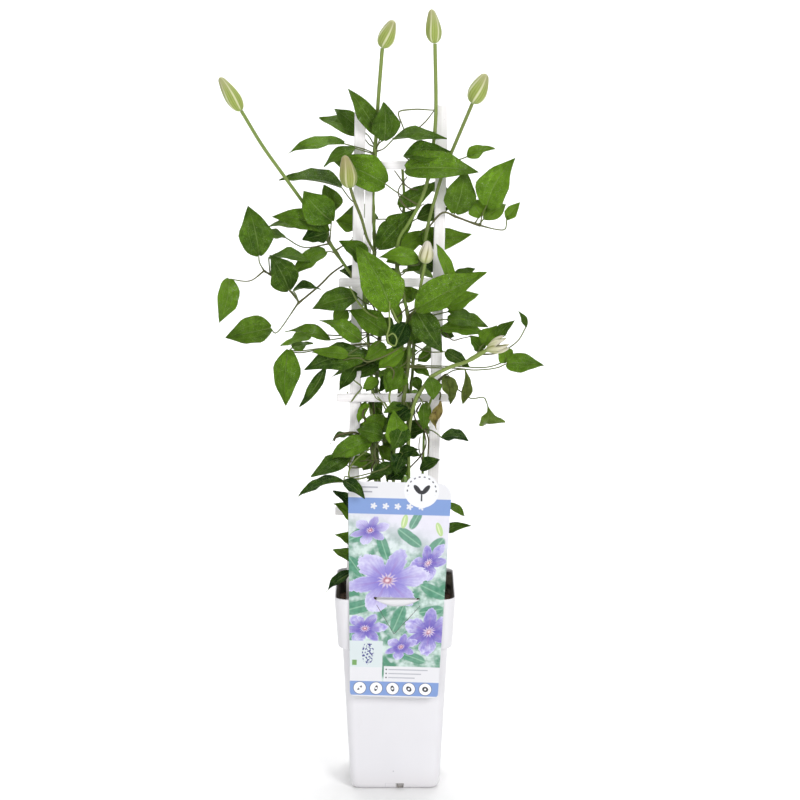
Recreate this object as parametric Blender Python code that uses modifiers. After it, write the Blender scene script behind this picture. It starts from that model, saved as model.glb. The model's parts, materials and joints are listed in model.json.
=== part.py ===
"""Clematis plant on a wooden ladder trellis, in its tall square pot with a label card.

Metres, +Z up. The origin is the centre of the pot's foot, and the front of the plant faces -Y.
The pot, the soil, the trellis and the card are built from the dimensions below. The plant is
drawn by hand: each stem, leaf and bud is a row of places read in a front view, in millimetres.
"""
import math
from collections import namedtuple

import bmesh
import bpy
from mathutils import Matrix, Vector

OBJECT_NAME = "clematis_plant_on_trellis"
MM = 0.001
GAP = 0.3 * MM

# Pot: halves are measured from the axis to the outside of a wall
POT_HEIGHT = 225 * MM
POT_WALL = 1.6 * MM
CHAMFER_HEIGHT = 1.5 * MM
CHAMFER_HALF = 47.8 * MM
FOOT_HALF = 49.3 * MM
BODY_TOP_HALF = 58.0 * MM
COLLAR_FOOT_HALF = 62.8 * MM
RIM_HALF = 66.5 * MM
COLLAR_HEIGHT = 58.5 * MM
COLLAR_STEP = 2.0 * MM
FOOT_CORNER = 9 * MM
BODY_CORNER = 11 * MM
RIM_CORNER = 14 * MM
CORNER_STEPS = 4
DRAIN_RADIUS = 4 * MM
DRAIN_PLACE = 30 * MM
NOTCH_WIDTH = 6 * MM
NOTCH_HEIGHT = 7 * MM
NOTCH_PLACE = 6 * MM

# Soil
SOIL_TOP = 197 * MM
SOIL_FLOOR = 2.4 * MM
SOIL_CLEARANCE = 2.1 * MM
SOIL_BUMP = 1.6 * MM
ROOT_DEPTH = 55 * MM
STEM_HOLE_RADIUS = 2.6 * MM

# Trellis: the ladder leans a little to the right
LADDER_LEAN = math.radians(1.2)
LADDER_LEVEL = 400 * MM
RAIL_SIZE = 12 * MM
RAIL_PLACES = {"trellis_rail_left": -44.5 * MM, "trellis_rail_right": 43.7 * MM}
RAIL_TOPS = {"trellis_rail_left": 749.6 * MM, "trellis_rail_right": 758.8 * MM}
RAIL_FOOT = 105 * MM
RAIL_POINT = 70 * MM
RAIL_POINT_SIZE = 4 * MM
RUNG_LENGTH = 125 * MM
RUNG_HEIGHT = 9 * MM
RUNG_DEPTH = 5 * MM
RUNG_PITCH = 128 * MM
RUNG_LOWEST = 310.5 * MM
RUNG_COUNT = 4
RUNG_CENTRE = -2 * MM
SLAT_WIDTH = 8.0 * MM
SLAT_DEPTH = 4 * MM
SLAT_PLACE = -33.8 * MM
WOOD_BEVEL = 0.8 * MM

# Label card: a tapered sheet, its top wider than its foot, with a round badge on its top edge
CARD_THICKNESS = 0.8 * MM
CARD_FACE = 67.9 * MM
CARD_CENTRE = 1.8 * MM
CARD_TOP = 357.5 * MM
CARD_FOOT = 114.4 * MM
CARD_TOP_HALF = 56 * MM
CARD_FOOT_HALF = 48.4 * MM
CARD_TURN = math.radians(1.6)
CARD_CORNER = 5 * MM
CARD_BIG_CORNER = 14 * MM
BADGE_CENTRE = (25.6 * MM, 348.6 * MM)
BADGE_RADIUS = 19 * MM
SLOT_HALF = 25 * MM
SLOT_TOP = 228 * MM
SLOT_END = 226 * MM
SLOT_BOTTOM = 218 * MM
TONGUE_HALF = 22 * MM
TONGUE_THICKNESS = 0.6 * MM

# Plant
BLADE_THICKNESS = 0.8 * MM
BLADE_FOLD = 0.22
BLADE_RIPPLE = 1.3 * MM
LARGE_BLADE = 28 * MM
LARGE_ROWS = (0.13, 0.36, 0.62, 0.84)
SMALL_ROWS = (0.17, 0.47, 0.78)
STALK_RADIUS = 0.75 * MM
STEM_STEP = 27 * MM
STALK_STEP = 22 * MM
BUD_SIDES = 10
BUD_RIB = 0.1
BACK_LEAVES = 13

# The front view that the plant was read in: the eye looks a little down on the plant
SIGHT_DISTANCE = 2.95
SIGHT_DROP = math.radians(12)
SIGHT_HEIGHT = 0.434
SIGHT_ACROSS = 0.0055

COLOURS = {
    "pot": (236, 235, 243, 0.35),
    "soil": (52, 38, 28, 0.95),
    "painted_wood": (240, 236, 236, 0.55),
    "card": (225, 228, 245, 0.35),
    "leafy_stem": (66, 112, 30, 0.5),
    "bud": (170, 180, 105, 0.5),
    "dry_leaf": (150, 130, 80, 0.8),
}

# Each place is (across, height, out): millimetres right of the axis and above the ground in
# the front view, and how far the point stands out in front of the trellis' middle plane.
# A branch starts on another branch at a height, or in the soil where it has none.
Branch = namedtuple("Branch", "name parent start radii places")
# A leaf's stalk leaves its branch at the height `start` and passes through `via`.
# `roll` turns the blade's face up from the viewer, and `bow` arches the blade.
Leaf = namedtuple("Leaf", "branch start base tip width roll bow via", defaults=((),))
Bud = namedtuple("Bud", "name branch tip width blunt")
Vine = namedtuple("Vine", "name root branches leaves buds")

LEFT_VINE = Vine(
    "vine_left", (-20, 2),
    (
        Branch("left_stem", None, 0, (1.9, 1.1), (
            (-19, 302, -2), (-23, 379, -2), (-24, 434, -1), (-29, 494, -1), (-33, 540, -7),
            (-46, 568, -14), (-58, 586, -11), (-72, 607, -4), (-88, 633, 0), (-121, 679, 6),
            (-146, 714, 9), (-169, 752, 12))),
        Branch("left_stalk", "left_stem", 583, (0.95, 0.85), (
            (-70, 573, -5), (-83, 560, 0), (-107, 540, 8))),
        Branch("left_arm", "left_stalk", 541, (0.8, 0.75), (
            (-114, 552, 6), (-128, 566, 5), (-144, 576, 8))),
    ),
    (
        Leaf("left_arm", 576, (-150, 594, 12), (-162, 648, 20), 36, 0, 0.06, ((-149, 585, 9),)),
        Leaf("left_arm", 576, (-182, 567, 14), (-193, 518, 20), 25, -20, 0.12, ((-160, 565, 10),)),
        Leaf("left_stalk", 540, (-137, 513, 22), (-187, 502, 30), 31, 15, 0.08, ((-129, 509, 16),)),
        Leaf("left_stalk", 541, (-117, 556, 12), (-138, 594, 18), 32, 5, 0.1),
        Leaf("left_arm", 572, (-139, 590, 4), (-91, 587, 0), 22, 60, 0.12),
        Leaf("left_stem", 594, (-76, 597, -6), (-113, 571, -4), 22, 35, 0.08),
        Leaf("left_stem", 606, (-121, 613, -14), (-150, 616, -18), 18, 58, 0.05,
             ((-100, 602, -10),)),
        Leaf("left_stalk", 541, (-112, 554, 18), (-81, 554, 22), 14, 55, 0.1),
        Leaf("left_stem", 607, (-70, 631, 10), (-101, 664, 18), 36, 5, 0.06),
        Leaf("left_stem", 612, (-72, 640, 2), (-78, 671, 4), 26, 10, 0.05),
        Leaf("left_stem", 607, (-73, 619, 4), (-135, 637, 10), 25, 25, 0.1),
        Leaf("left_stem", 607, (-92, 623, -8), (-141, 626, -14), 18, 62, 0.1),
        Leaf("left_stem", 607, (-75, 618, 12), (-102, 610, 18), 24, 20, 0.05),
        Leaf("left_stem", 598, (-42, 626, -16), (-66, 631, -16), 20, 10, 0.05,
             ((-54, 606, -14), (-41, 616, -20))),
        Leaf("left_stem", 568, (-40, 574, -20), (-61, 577, -20), 14, 10, 0.05,
             ((-42, 563, -18), (-37, 568, -22))),
    ),
    (Bud("bud_left", "left_stem", (-193, 789, 15), 17.5, 0.0),),
)

MIDDLE_VINE = Vine(
    "vine_middle", (-12, 10),
    (
        Branch("middle_stem", None, 0, (1.9, 1.1), (
            (-14, 302, -9), (-20, 379, -9), (-21, 434, -9), (-19, 478, -9), (-16, 520, -8),
            (-20, 544, -6), (-22, 577, -2), (-23, 621, -1), (-24, 665, 0), (-19, 755, 2),
            (-14, 821, 4))),
        Branch("bud_shoot", "middle_stem", 586, (1.2, 1.1), (
            (-23, 596, 7), (-26, 603, 13), (-31, 613, 18), (-37, 634, 24), (-45, 654, 28),
            (-49, 667, 31))),
    ),
    (
        Leaf("middle_stem", 709, (-16, 724, 8), (-51, 777, 16), 21, 10, 0.08),
        Leaf("middle_stem", 709, (-12, 720, 14), (-12, 761, 22), 30, 5, 0.05),
        Leaf("middle_stem", 707, (-2, 721, 10), (58, 719, 26), 22, 58, 0.08),
        Leaf("middle_stem", 712, (-36, 730, -14), (-67, 755, -20), 20, 10, 0.05),
        Leaf("middle_stem", 712, (-36, 726, -18), (-84, 743, -24), 22, 25, 0.05),
        Leaf("middle_stem", 704, (-56, 716, 14), (-118, 709, 22), 22, 55, 0.08,
             ((-31, 709, 12),)),
        Leaf("middle_stem", 704, (-44, 711, 20), (-80, 693, 22), 18, 40, 0.05,
             ((-31, 707, 16),)),
        Leaf("middle_stem", 645, (-59, 668, -13), (-128, 676, -4), 26, 60, 0.05,
             ((-31, 648, -11), (-46, 652, -13))),
        Leaf("middle_stem", 540, (-42, 548, 20), (-92, 535, 24), 27, 25, 0.08),
        Leaf("middle_stem", 520, (-54, 533, 13), (-70, 514, 14), 18, 20, 0.05,
             ((-32, 527, 11),)),
        Leaf("middle_stem", 518, (-10, 507, 14), (-50, 533, 24), 26, 10, 0.05),
        Leaf("middle_stem", 500, (-38, 500, 28), (-82, 523, 34), 20, 20, 0.06),
        Leaf("middle_stem", 544, (-33, 587, 20), (-62, 609, 26), 22, 20, 0.1,
             ((-21, 549, 12), (-25, 562, 15), (-29, 576, 18))),
        Leaf("middle_stem", 597, (-18, 601, 9), (25, 645, 12), 28, 10, 0.05),
        Leaf("middle_stem", 490, (-33, 483, 22), (-100, 468, 32), 30, 15, 0.08),
        Leaf("middle_stem", 490, (-52, 484, 30), (-92, 486, 32), 14, 10, 0.05),
        Leaf("middle_stem", 478, (-44, 470, 14), (-62, 444, 18), 15, 10, 0.05,
             ((-26, 476, 5), (-36, 472, 11))),
        Leaf("middle_stem", 484, (-76, 470, 36), (-105, 426, 40), 13, 15, 0.1,
             ((-26, 483, 6), (-50, 480, 26))),
        Leaf("middle_stem", 496, (-117, 489, 18), (-121, 428, 24), 29, 10, 0.05,
             ((-34, 495, 10), (-80, 491, 12), (-104, 488, 15))),
        Leaf("middle_stem", 506, (-72, 500, 20), (-121, 510, 26), 18, 40, 0.08,
             ((-38, 505, 13),)),
        Leaf("middle_stem", 508, (-92, 507, 12), (-126, 493, 12), 18, 45, 0.05,
             ((-34, 508, 10), (-60, 505, 11))),
        Leaf("middle_stem", 496, (-113, 492, 10), (-90, 496, 6), 18, 50, 0.05,
             ((-34, 496, 11), (-80, 490, 9), (-104, 486, 9), (-115, 488, 10))),
    ),
    (
        Bud("bud_middle", "middle_stem", (-2, 852, 6), 19.5, 0.0),
        Bud("bud_brown", "bud_shoot", (-55.5, 703, 35), 19.5, 0.0),
    ),
)

CENTRE_VINE = Vine(
    "vine_centre", (8, -18),
    (
        Branch("centre_stem", None, 0, (2.0, 1.1), (
            (9, 280, 19), (8, 354, 19), (6, 412, 19), (9, 431, 19), (15, 481, 20), (15, 520, 20),
            (8, 555, 20), (2, 586, 20), (4, 610, 21), (14, 627, 22), (26, 648, 22),
            (36, 676, 19), (42, 712, 18), (45, 755, 12), (44, 826, 8))),
        Branch("centre_shoot", "centre_stem", 520, (1.3, 1.2), (
            (21, 531, 24), (27, 554, 28), (33, 584, 31))),
    ),
    (
        Leaf("centre_stem", 648, (-11, 672, 13), (-70, 700, 14), 37, 10, 0.03, ((3, 662, 16),)),
        Leaf("centre_stem", 680, (12, 688, 26), (93, 686, 38), 35, 30, 0.12),
        Leaf("centre_stem", 690, (10, 702, 20), (62, 706, 28), 26, 40, 0.08),
        Leaf("centre_stem", 583, (25, 588, 24), (-18, 592, 28), 21, 25, 0.1,
             ((20, 582, 23), (27, 584, 24))),
        Leaf("centre_stem", 515, (-5, 535, 34), (-43, 606, 42), 42, 5, 0.05, ((2, 520, 28),)),
        Leaf("centre_stem", 522, (24, 534, 34), (103, 573, 46), 36, 25, 0.08),
        Leaf("centre_stem", 522, (58, 536, 26), (92, 552, 30), 20, 20, 0.05,
             ((34, 530, 24),)),
        Leaf("centre_stem", 530, (62, 562, 24), (47, 606, 28), 17, 40, 0.05, ((40, 545, 24),)),
        Leaf("centre_stem", 526, (66, 565, 17), (88, 579, 18), 16, 20, 0.08, ((42, 550, 18),)),
        Leaf("centre_stem", 516, (24, 530, 30), (53, 487, 38), 30, 15, 0.06),
        Leaf("centre_stem", 495, (20, 498, 26), (36, 532, 28), 28, 10, 0.05),
        Leaf("centre_stem", 512, (58, 523, 18), (103, 515, 24), 20, 35, 0.1, ((36, 520, 19),)),
        Leaf("centre_stem", 508, (48, 511, 22), (101, 506, 27), 20, 35, 0.08),
        Leaf("centre_stem", 520, (58, 531, 12), (82, 529, 14), 11, 30, 0.05, ((36, 526, 14),)),
        Leaf("centre_stem", 498, (56, 487, 16), (83, 470, 22), 15, 20, 0.05),
        Leaf("centre_stem", 470, (123, 474, 30), (164, 472, 36), 21, 5, 0.06,
             ((65, 469, 22), (87, 467, 25), (110, 469, 28))),
        Leaf("centre_stem", 472, (123, 477, 22), (114, 495, 24), 18, 10, 0.05,
             ((65, 471, 16), (100, 470, 20))),
        Leaf("centre_stem", 470, (6, 467, 28), (-6, 444, 32), 24, 5, 0.05),
        Leaf("centre_stem", 400, (2, 384, 30), (-2, 424, 38), 26, 5, 0.05),
        Leaf("centre_stem", 395, (14, 397, 20), (34, 402, 22), 18, 20, 0.05),
        Leaf("centre_stem", 366, (2, 370, 30), (27, 379, 37), 16, 40, 0.1),
        Leaf("centre_stem", 372, (-56, 345, 66), (-33, 325, 80), 15, 20, 0.15,
             ((-6, 362, 44), (-19, 356, 56), (-46, 349, 62), (-55, 350, 65))),
        Leaf("centre_stem", 360, (-2, 364, 40), (-31, 348, 58), 16, 20, 0.05),
        Leaf("centre_stem", 375, (8, 374, 36), (0, 350, 50), 18, 5, 0.05),
    ),
    (
        Bud("bud_centre", "centre_stem", (40, 864, 10), 17.5, 0.0),
        Bud("bud_cream", "centre_shoot", (36, 609, 33), 16.5, 0.25),
    ),
)

RIGHT_VINE = Vine(
    "vine_right", (16, 2),
    (
        Branch("right_stem", None, 0, (1.8, 1.1), (
            (15, 324, -1), (14, 390, -1), (16, 434, -1), (19, 461, -1), (21, 494, 0),
            (24, 533, 0), (28, 560, 0), (31, 593, 6), (34, 614, 10), (38, 634, 11),
            (45, 659, 12), (53, 685, 15), (62, 706, 16), (85, 760, 17))),
        Branch("right_stalk", "right_stem", 622, (0.9, 0.8), (
            (52, 640, 14), (66, 636, 15), (82, 630, 18), (94, 626, 20))),
    ),
    (
        Leaf("right_stem", 700, (80, 702, 18), (110, 711, 22), 18, 40, 0.05),
        Leaf("right_stalk", 636, (66, 640, 17), (77, 688, 23), 33, 5, 0.05, ((64, 637, 16),)),
        Leaf("right_stalk", 626, (101, 648, 24), (132, 700, 32), 34, 5, 0.06, ((96, 638, 22),)),
        Leaf("right_stalk", 628, (94, 636, 19), (80, 655, 14), 22, 20, 0.05),
        Leaf("right_stalk", 627, (98, 634, 20), (122, 650, 20), 20, 25, 0.05),
        Leaf("right_stalk", 626, (123, 633, 26), (138, 652, 30), 13, 20, 0.05,
             ((110, 622, 22), (121, 622, 24))),
    ),
    (Bud("bud_right", "right_stem", (100, 793, 19), 21.5, 0.0),),
)

FRONT_VINE = Vine(
    "vine_front", (15, -29),
    (
        Branch("front_stem", None, 0, (1.9, 1.5), (
            (14, 302, 30), (15, 346, 29), (15, 390, 28), (17, 412, 28), (22, 432, 27),
            (28, 443, 27), (40, 459, 29), (60, 470, 33), (78, 476, 38), (101, 489, 46))),
    ),
    (
        Leaf("front_stem", 484, (112, 501, 39), (131, 522, 45), 13, 20, 0.08,
             ((103, 492, 34),)),
        Leaf("front_stem", 482, (98, 496, 32), (112, 516, 34), 20, 15, 0.05),
        Leaf("front_stem", 480, (97, 490, 28), (82, 505, 26), 16, 15, 0.05),
        Leaf("front_stem", 484, (144, 514, 40), (136, 532, 42), 7, 20, 0.05,
             ((114, 486, 34), (134, 498, 38))),
        Leaf("front_stem", 459, (38, 458, 35), (42, 434, 37), 18, 10, 0.08),
        Leaf("front_stem", 438, (31, 430, 34), (31, 401, 36), 13, 10, 0.05),
    ),
    (Bud("bud_open", "front_stem", (123, 498, 52), 18.5, 0.5),),
)

LOW_LEFT_VINE = Vine(
    "vine_low_left", (-14, -20),
    (
        Branch("low_left_stem", None, 0, (1.7, 1.0), (
            (-17, 280, 20), (-19, 324, 16), (-23, 357, 14), (-26, 385, 12), (-24, 406, 12),
            (-27, 424, 13))),
    ),
    (
        Leaf("low_left_stem", 385, (-26, 390, 24), (-75, 368, 32), 24, 20, 0.1),
        Leaf("low_left_stem", 380, (-50, 371, 26), (-93, 350, 34), 22, 25, 0.08,
             ((-36, 378, 20),)),
        Leaf("low_left_stem", 350, (-57, 344, 28), (-106, 326, 34), 20, 56, 0.12,
             ((-45, 336, 26),)),
        Leaf("low_left_stem", 396, (-46, 395, 12), (-72, 388, 16), 12, 60, 0.15),
        Leaf("low_left_stem", 320, (-40, 311, 30), (-69, 334, 36), 17, 20, 0.05),
        Leaf("low_left_stem", 312, (-38, 298, 34), (-69, 320, 40), 20, 15, 0.05),
        Leaf("low_left_stem", 290, (-42, 274, 36), (-66, 286, 40), 14, 20, 0.05),
        Leaf("low_left_stem", 280, (-44, 261, 42), (-69, 269, 46), 15, 25, 0.05),
        Leaf("low_left_stem", 270, (-48, 244, 50), (-75, 222, 60), 14, 35, 0.15),
        Leaf("low_left_stem", 400, (-13, 394, 24), (-42, 402, 30), 22, 20, 0.08,
             ((-18, 391, 15), (-10, 388, 20))),
        Leaf("low_left_stem", 422, (-29, 430, 17), (-40, 408, 20), 11, 20, 0.05),
        Leaf("low_left_stem", 372, (-32, 368, 18), (-50, 362, 22), 16, 25, 0.05),
    ),
    (),
)

LOW_RIGHT_VINE = Vine(
    "vine_low_right", (29, -10),
    (
        Branch("low_right_stem", None, 0, (1.6, 0.9), (
            (27, 280, 13), (29, 324, 14), (31, 368, 15), (32, 401, 16), (35, 421, 18),
            (42, 440, 21), (49, 457, 21))),
        Branch("dry_stalk", "low_right_stem", 440, (0.75, 0.7), ((50, 442, 25), (49, 434, 26))),
    ),
    (
        Leaf("low_right_stem", 456, (59, 459, 26), (60, 429, 30), 20, 15, 0.1),
        Leaf("low_right_stem", 456, (77, 468, 26), (75, 429, 30), 12, 20, 0.05,
             ((63, 466, 22),)),
        Leaf("low_right_stem", 452, (101, 430, 36), (101, 408, 32), 26, 10, 0.1,
             ((68, 446, 28), (83, 436, 32), (97, 437, 35))),
        Leaf("low_right_stem", 402, (52, 392, 22), (81, 390, 26), 20, 50, 0.08),
        Leaf("low_right_stem", 366, (28, 357, 22), (51, 368, 26), 15, 20, 0.05),
        Leaf("low_right_stem", 300, (52, 287, 30), (84, 296, 36), 12, 30, 0.1),
        Leaf("low_right_stem", 320, (58, 320, 30), (77, 306, 34), 10, 20, 0.15),
    ),
    (),
)

BACK_VINE = Vine(
    "vine_back", (3, 24),
    (
        Branch("back_stem", None, 0, (1.8, 0.9), (
            (2, 280, -25), (-2, 354, -25), (4, 434, -24), (8, 500, -24), (0, 560, -22),
            (6, 610, -20), (10, 650, -18), (8, 692, -18))),
    ),
    (
        Leaf("back_stem", 640, (4, 648, -10), (48, 674, -13), 20, 20, 0.05),
        Leaf("back_stem", 605, (24, 612, -16), (85, 617, -19), 25, 5, 0.06),
        Leaf("back_stem", 630, (25, 634, -11), (60, 644, -15), 20, 15, 0.05),
        Leaf("back_stem", 596, (8, 601, -11), (40, 618, -10), 20, 20, 0.05),
    ),
    (),
)

VINES = (
    LEFT_VINE, MIDDLE_VINE, CENTRE_VINE, RIGHT_VINE, FRONT_VINE, LOW_LEFT_VINE,
    LOW_RIGHT_VINE, BACK_VINE,
)
DRY_LEAF = Leaf("dry_stalk", 434, (49, 433, 26), (46, 401, 30), 12, 15, 0.15)


def clear_scene():
    """Remove whatever objects the open file holds."""
    for old in list(bpy.data.objects):
        bpy.data.objects.remove(old, do_unlink=True)


def linear(value):
    """Linear light of an 8-bit display value."""
    share = value / 255
    return share / 12.92 if share <= 0.04045 else ((share + 0.055) / 1.055) ** 2.4


def material(name):
    """The Principled material of one of the listed colours."""
    made = bpy.data.materials.get(name)
    if made:
        return made
    red, green, blue, roughness = COLOURS[name]
    made = bpy.data.materials.new(name)
    made.use_nodes = True
    shader = made.node_tree.nodes["Principled BSDF"]
    shader.inputs["Base Color"].default_value = (linear(red), linear(green), linear(blue), 1)
    shader.inputs["Roughness"].default_value = roughness
    shader.inputs["Metallic"].default_value = 0
    return made


def add_object(name, mesh, collection, colour=None):
    """An object of a mesh or curve, put in a collection."""
    made = bpy.data.objects.new(name, mesh)
    collection.objects.link(made)
    if colour:
        mesh.materials.clear()
        mesh.materials.append(material(colour))
    return made


def mesh_of(bm, name):
    """A mesh made from a bmesh, with its faces pointing out."""
    bmesh.ops.recalc_face_normals(bm, faces=bm.faces)
    mesh = bpy.data.meshes.new(name)
    bm.to_mesh(mesh)
    bm.free()
    return mesh


def evaluated_mesh(made):
    """The mesh of an object with its modifiers or its curve's bevel carried out."""
    bpy.context.view_layer.update()
    graph = bpy.context.evaluated_depsgraph_get()
    return bpy.data.meshes.new_from_object(made.evaluated_get(graph))


def loft(rings, cap_start=True, cap_end=True):
    """A skin over rings of as many points each, closed at either end or left open."""
    bm = bmesh.new()
    rows = [[bm.verts.new(point) for point in ring] for ring in rings]
    count = len(rows[0])
    for low, high in zip(rows, rows[1:]):
        for index in range(count):
            after = (index + 1) % count
            bm.faces.new((low[index], low[after], high[after], high[index]))
    if cap_start:
        bm.faces.new(tuple(reversed(rows[0])))
    if cap_end:
        bm.faces.new(rows[-1])
    return bm


def block(name, size, place, collection, colour=None):
    """A box with its centre at a place."""
    bm = bmesh.new()
    bmesh.ops.create_cube(bm, size=1)
    bmesh.ops.scale(bm, vec=size, verts=bm.verts)
    made = add_object(name, mesh_of(bm, name), collection, colour)
    made.location = place
    return made


def bevel(made, width, segments=1):
    """Break the edges of an object."""
    edge = made.modifiers.new("edges", "BEVEL")
    edge.width = width
    edge.segments = segments


def cut(made, cutter):
    """Cut one object by another, which stays as a hidden cutter."""
    cutter.hide_render = True
    cutter.display_type = "WIRE"
    hole = made.modifiers.new(cutter.name, "BOOLEAN")
    hole.operation = "DIFFERENCE"
    hole.solver = "MANIFOLD"
    hole.object = cutter


def post(name, radius, low, high, place, collection, sides=12):
    """A round cutter that stands from one height to another."""
    bm = bmesh.new()
    bmesh.ops.create_cone(
        bm, cap_ends=True, segments=sides, radius1=radius, radius2=radius, depth=high - low)
    made = add_object(name, mesh_of(bm, name), collection)
    made.location = (place[0], place[1], (low + high) / 2)
    return made


def rounded_square(half, corner, height):
    """A level ring of points along a square with round corners."""
    ring = []
    for quarter in range(4):
        turn = Matrix.Rotation(quarter * math.pi / 2, 3, "Z")
        for step in range(CORNER_STEPS + 1):
            angle = step / CORNER_STEPS * math.pi / 2
            x = half - corner + corner * math.cos(angle)
            y = half - corner + corner * math.sin(angle)
            ring.append(turn @ Vector((x, y, height)))
    return ring


def build_pot(parts, cutters):
    """The thin-walled pot: a tapered body, a wider collar, and drain holes in its foot."""
    collar_foot = POT_HEIGHT - COLLAR_HEIGHT
    rings = [
        rounded_square(CHAMFER_HALF, FOOT_CORNER, 0),
        rounded_square(FOOT_HALF, FOOT_CORNER, CHAMFER_HEIGHT),
        rounded_square(BODY_TOP_HALF, BODY_CORNER, collar_foot),
        rounded_square(COLLAR_FOOT_HALF, RIM_CORNER, collar_foot + COLLAR_STEP),
        rounded_square(RIM_HALF, RIM_CORNER, POT_HEIGHT),
    ]
    pot = add_object("pot", mesh_of(loft(rings, cap_end=False), "pot"), parts, "pot")
    if pot.data.polygons[0].normal.length and outward_share(pot.data) < 0.5:
        pot.data.flip_normals()
    wall = pot.modifiers.new("wall", "SOLIDIFY")
    wall.thickness = POT_WALL
    wall.offset = -1
    wall.use_even_offset = True
    for index in range(4):
        angle = index * math.pi / 2
        place = Matrix.Rotation(angle + math.pi / 4, 3, "Z") @ Vector((DRAIN_PLACE, 0, 0))
        cut(pot, post(f"drain_{index}", DRAIN_RADIUS, -2 * MM, 6 * MM, place, cutters))
        place = Matrix.Rotation(angle, 3, "Z") @ Vector((NOTCH_PLACE, -FOOT_HALF, 0))
        notch = block(f"notch_{index}", (NOTCH_WIDTH, 8 * MM, 2 * NOTCH_HEIGHT), place, cutters)
        notch.rotation_euler = (0, 0, angle)
        cut(pot, notch)
    return pot


def outward_share(mesh):
    """The share of side faces whose normal points away from the Z axis."""
    sides = [face for face in mesh.polygons if abs(face.normal.z) < 0.5]
    out = [face for face in sides if face.normal.xy.dot(face.center.xy) > 0]
    return len(out) / len(sides)


def build_soil(parts):
    """The block of soil that fills the pot to below its rim, with a lumpy top."""
    collar_foot = POT_HEIGHT - COLLAR_HEIGHT
    inset = SOIL_CLEARANCE
    corner = BODY_CORNER - inset
    rim_corner = RIM_CORNER - inset
    rise = (SOIL_TOP - collar_foot - COLLAR_STEP) / (COLLAR_HEIGHT - COLLAR_STEP)
    top_half = COLLAR_FOOT_HALF + (RIM_HALF - COLLAR_FOOT_HALF) * rise - inset
    rings = [
        rounded_square(CHAMFER_HALF - inset, FOOT_CORNER - inset, SOIL_FLOOR),
        rounded_square(FOOT_HALF - inset, FOOT_CORNER - inset, SOIL_FLOOR + CHAMFER_HEIGHT),
        rounded_square(BODY_TOP_HALF - inset, corner, collar_foot + inset),
        rounded_square(COLLAR_FOOT_HALF - inset, rim_corner, collar_foot + 2 * inset),
        rounded_square(top_half, rim_corner, SOIL_TOP),
    ]
    for share in (0.7, 0.38, 0.08):
        ring = rounded_square(top_half * share, rim_corner * share, SOIL_TOP)
        for index, point in enumerate(ring):
            point.z += SOIL_BUMP * math.sin(2.3 * index + 9 * share)
        rings.append(ring)
    return add_object("soil", mesh_of(loft(rings), "soil"), parts, "soil")


def lean_across(height):
    """How far the leaning ladder has moved to the right at a height."""
    return (height - LADDER_LEVEL) * math.tan(LADDER_LEAN)


def rail_mesh(name, room=0):
    """A square bar whose outer side tapers to a point at its foot, grown by some room."""
    inner_side = 1 if RAIL_PLACES[name] < 0 else -1
    length = RAIL_TOPS[name] - RAIL_FOOT
    width = RAIL_SIZE + 2 * room
    bm = bmesh.new()
    bmesh.ops.create_cube(bm, size=1)
    bmesh.ops.scale(bm, vec=(width, width, length + 2 * room), verts=bm.verts)
    knee = Vector((0, 0, RAIL_POINT - length / 2))
    geometry = bm.verts[:] + bm.edges[:] + bm.faces[:]
    bmesh.ops.bisect_plane(bm, geom=geometry, plane_co=knee, plane_no=(0, 0, 1))
    for vert in bm.verts:
        if vert.co.z < knee.z - MM and vert.co.x * inner_side < 0:
            vert.co.x = inner_side * (RAIL_SIZE / 2 - RAIL_POINT_SIZE - room)
    return mesh_of(bm, name)


def place_rail(name, made):
    """Stand a rail, or the cutter for its hole, where it leans with the ladder."""
    middle = (RAIL_TOPS[name] + RAIL_FOOT) / 2
    made.location = (RAIL_PLACES[name] + lean_across(middle), 0, middle)
    made.rotation_euler = (0, LADDER_LEAN, 0)


def build_trellis(parts):
    """The two rails, the rungs across their front, and a short slat behind two rungs."""
    for name in RAIL_PLACES:
        rail = add_object(name, rail_mesh(name), parts, "painted_wood")
        place_rail(name, rail)
        bevel(rail, WOOD_BEVEL)
    rung_y = -(RAIL_SIZE / 2 + GAP + RUNG_DEPTH / 2)
    for index in range(RUNG_COUNT):
        height = RUNG_LOWEST + index * RUNG_PITCH
        place = (RUNG_CENTRE + lean_across(height), rung_y, height)
        size = (RUNG_LENGTH, RUNG_DEPTH, RUNG_HEIGHT)
        rung = block(f"trellis_rung_{index + 1}", size, place, parts, "painted_wood")
        bevel(rung, WOOD_BEVEL)
    slat_low = RUNG_LOWEST + 2 * RUNG_PITCH - RUNG_HEIGHT / 2
    slat_high = slat_low + RUNG_PITCH + RUNG_HEIGHT
    middle = (slat_low + slat_high) / 2
    size = (SLAT_WIDTH, SLAT_DEPTH, slat_high - slat_low)
    slat_y = -RAIL_SIZE / 2 + SLAT_DEPTH / 2
    place = (SLAT_PLACE + lean_across(middle), slat_y, middle)
    slat = block("trellis_back_slat", size, place, parts, "painted_wood")
    slat.rotation_euler = (0, LADDER_LEAN, 0)
    bevel(slat, WOOD_BEVEL)


def arc(centre, radius, start, end, steps):
    """Points along an arc, its angles in degrees."""
    points = []
    for step in range(steps + 1):
        angle = math.radians(start + (end - start) * step / steps)
        points.append((centre[0] + radius * math.cos(angle), centre[1] + radius * math.sin(angle)))
    return points


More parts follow.
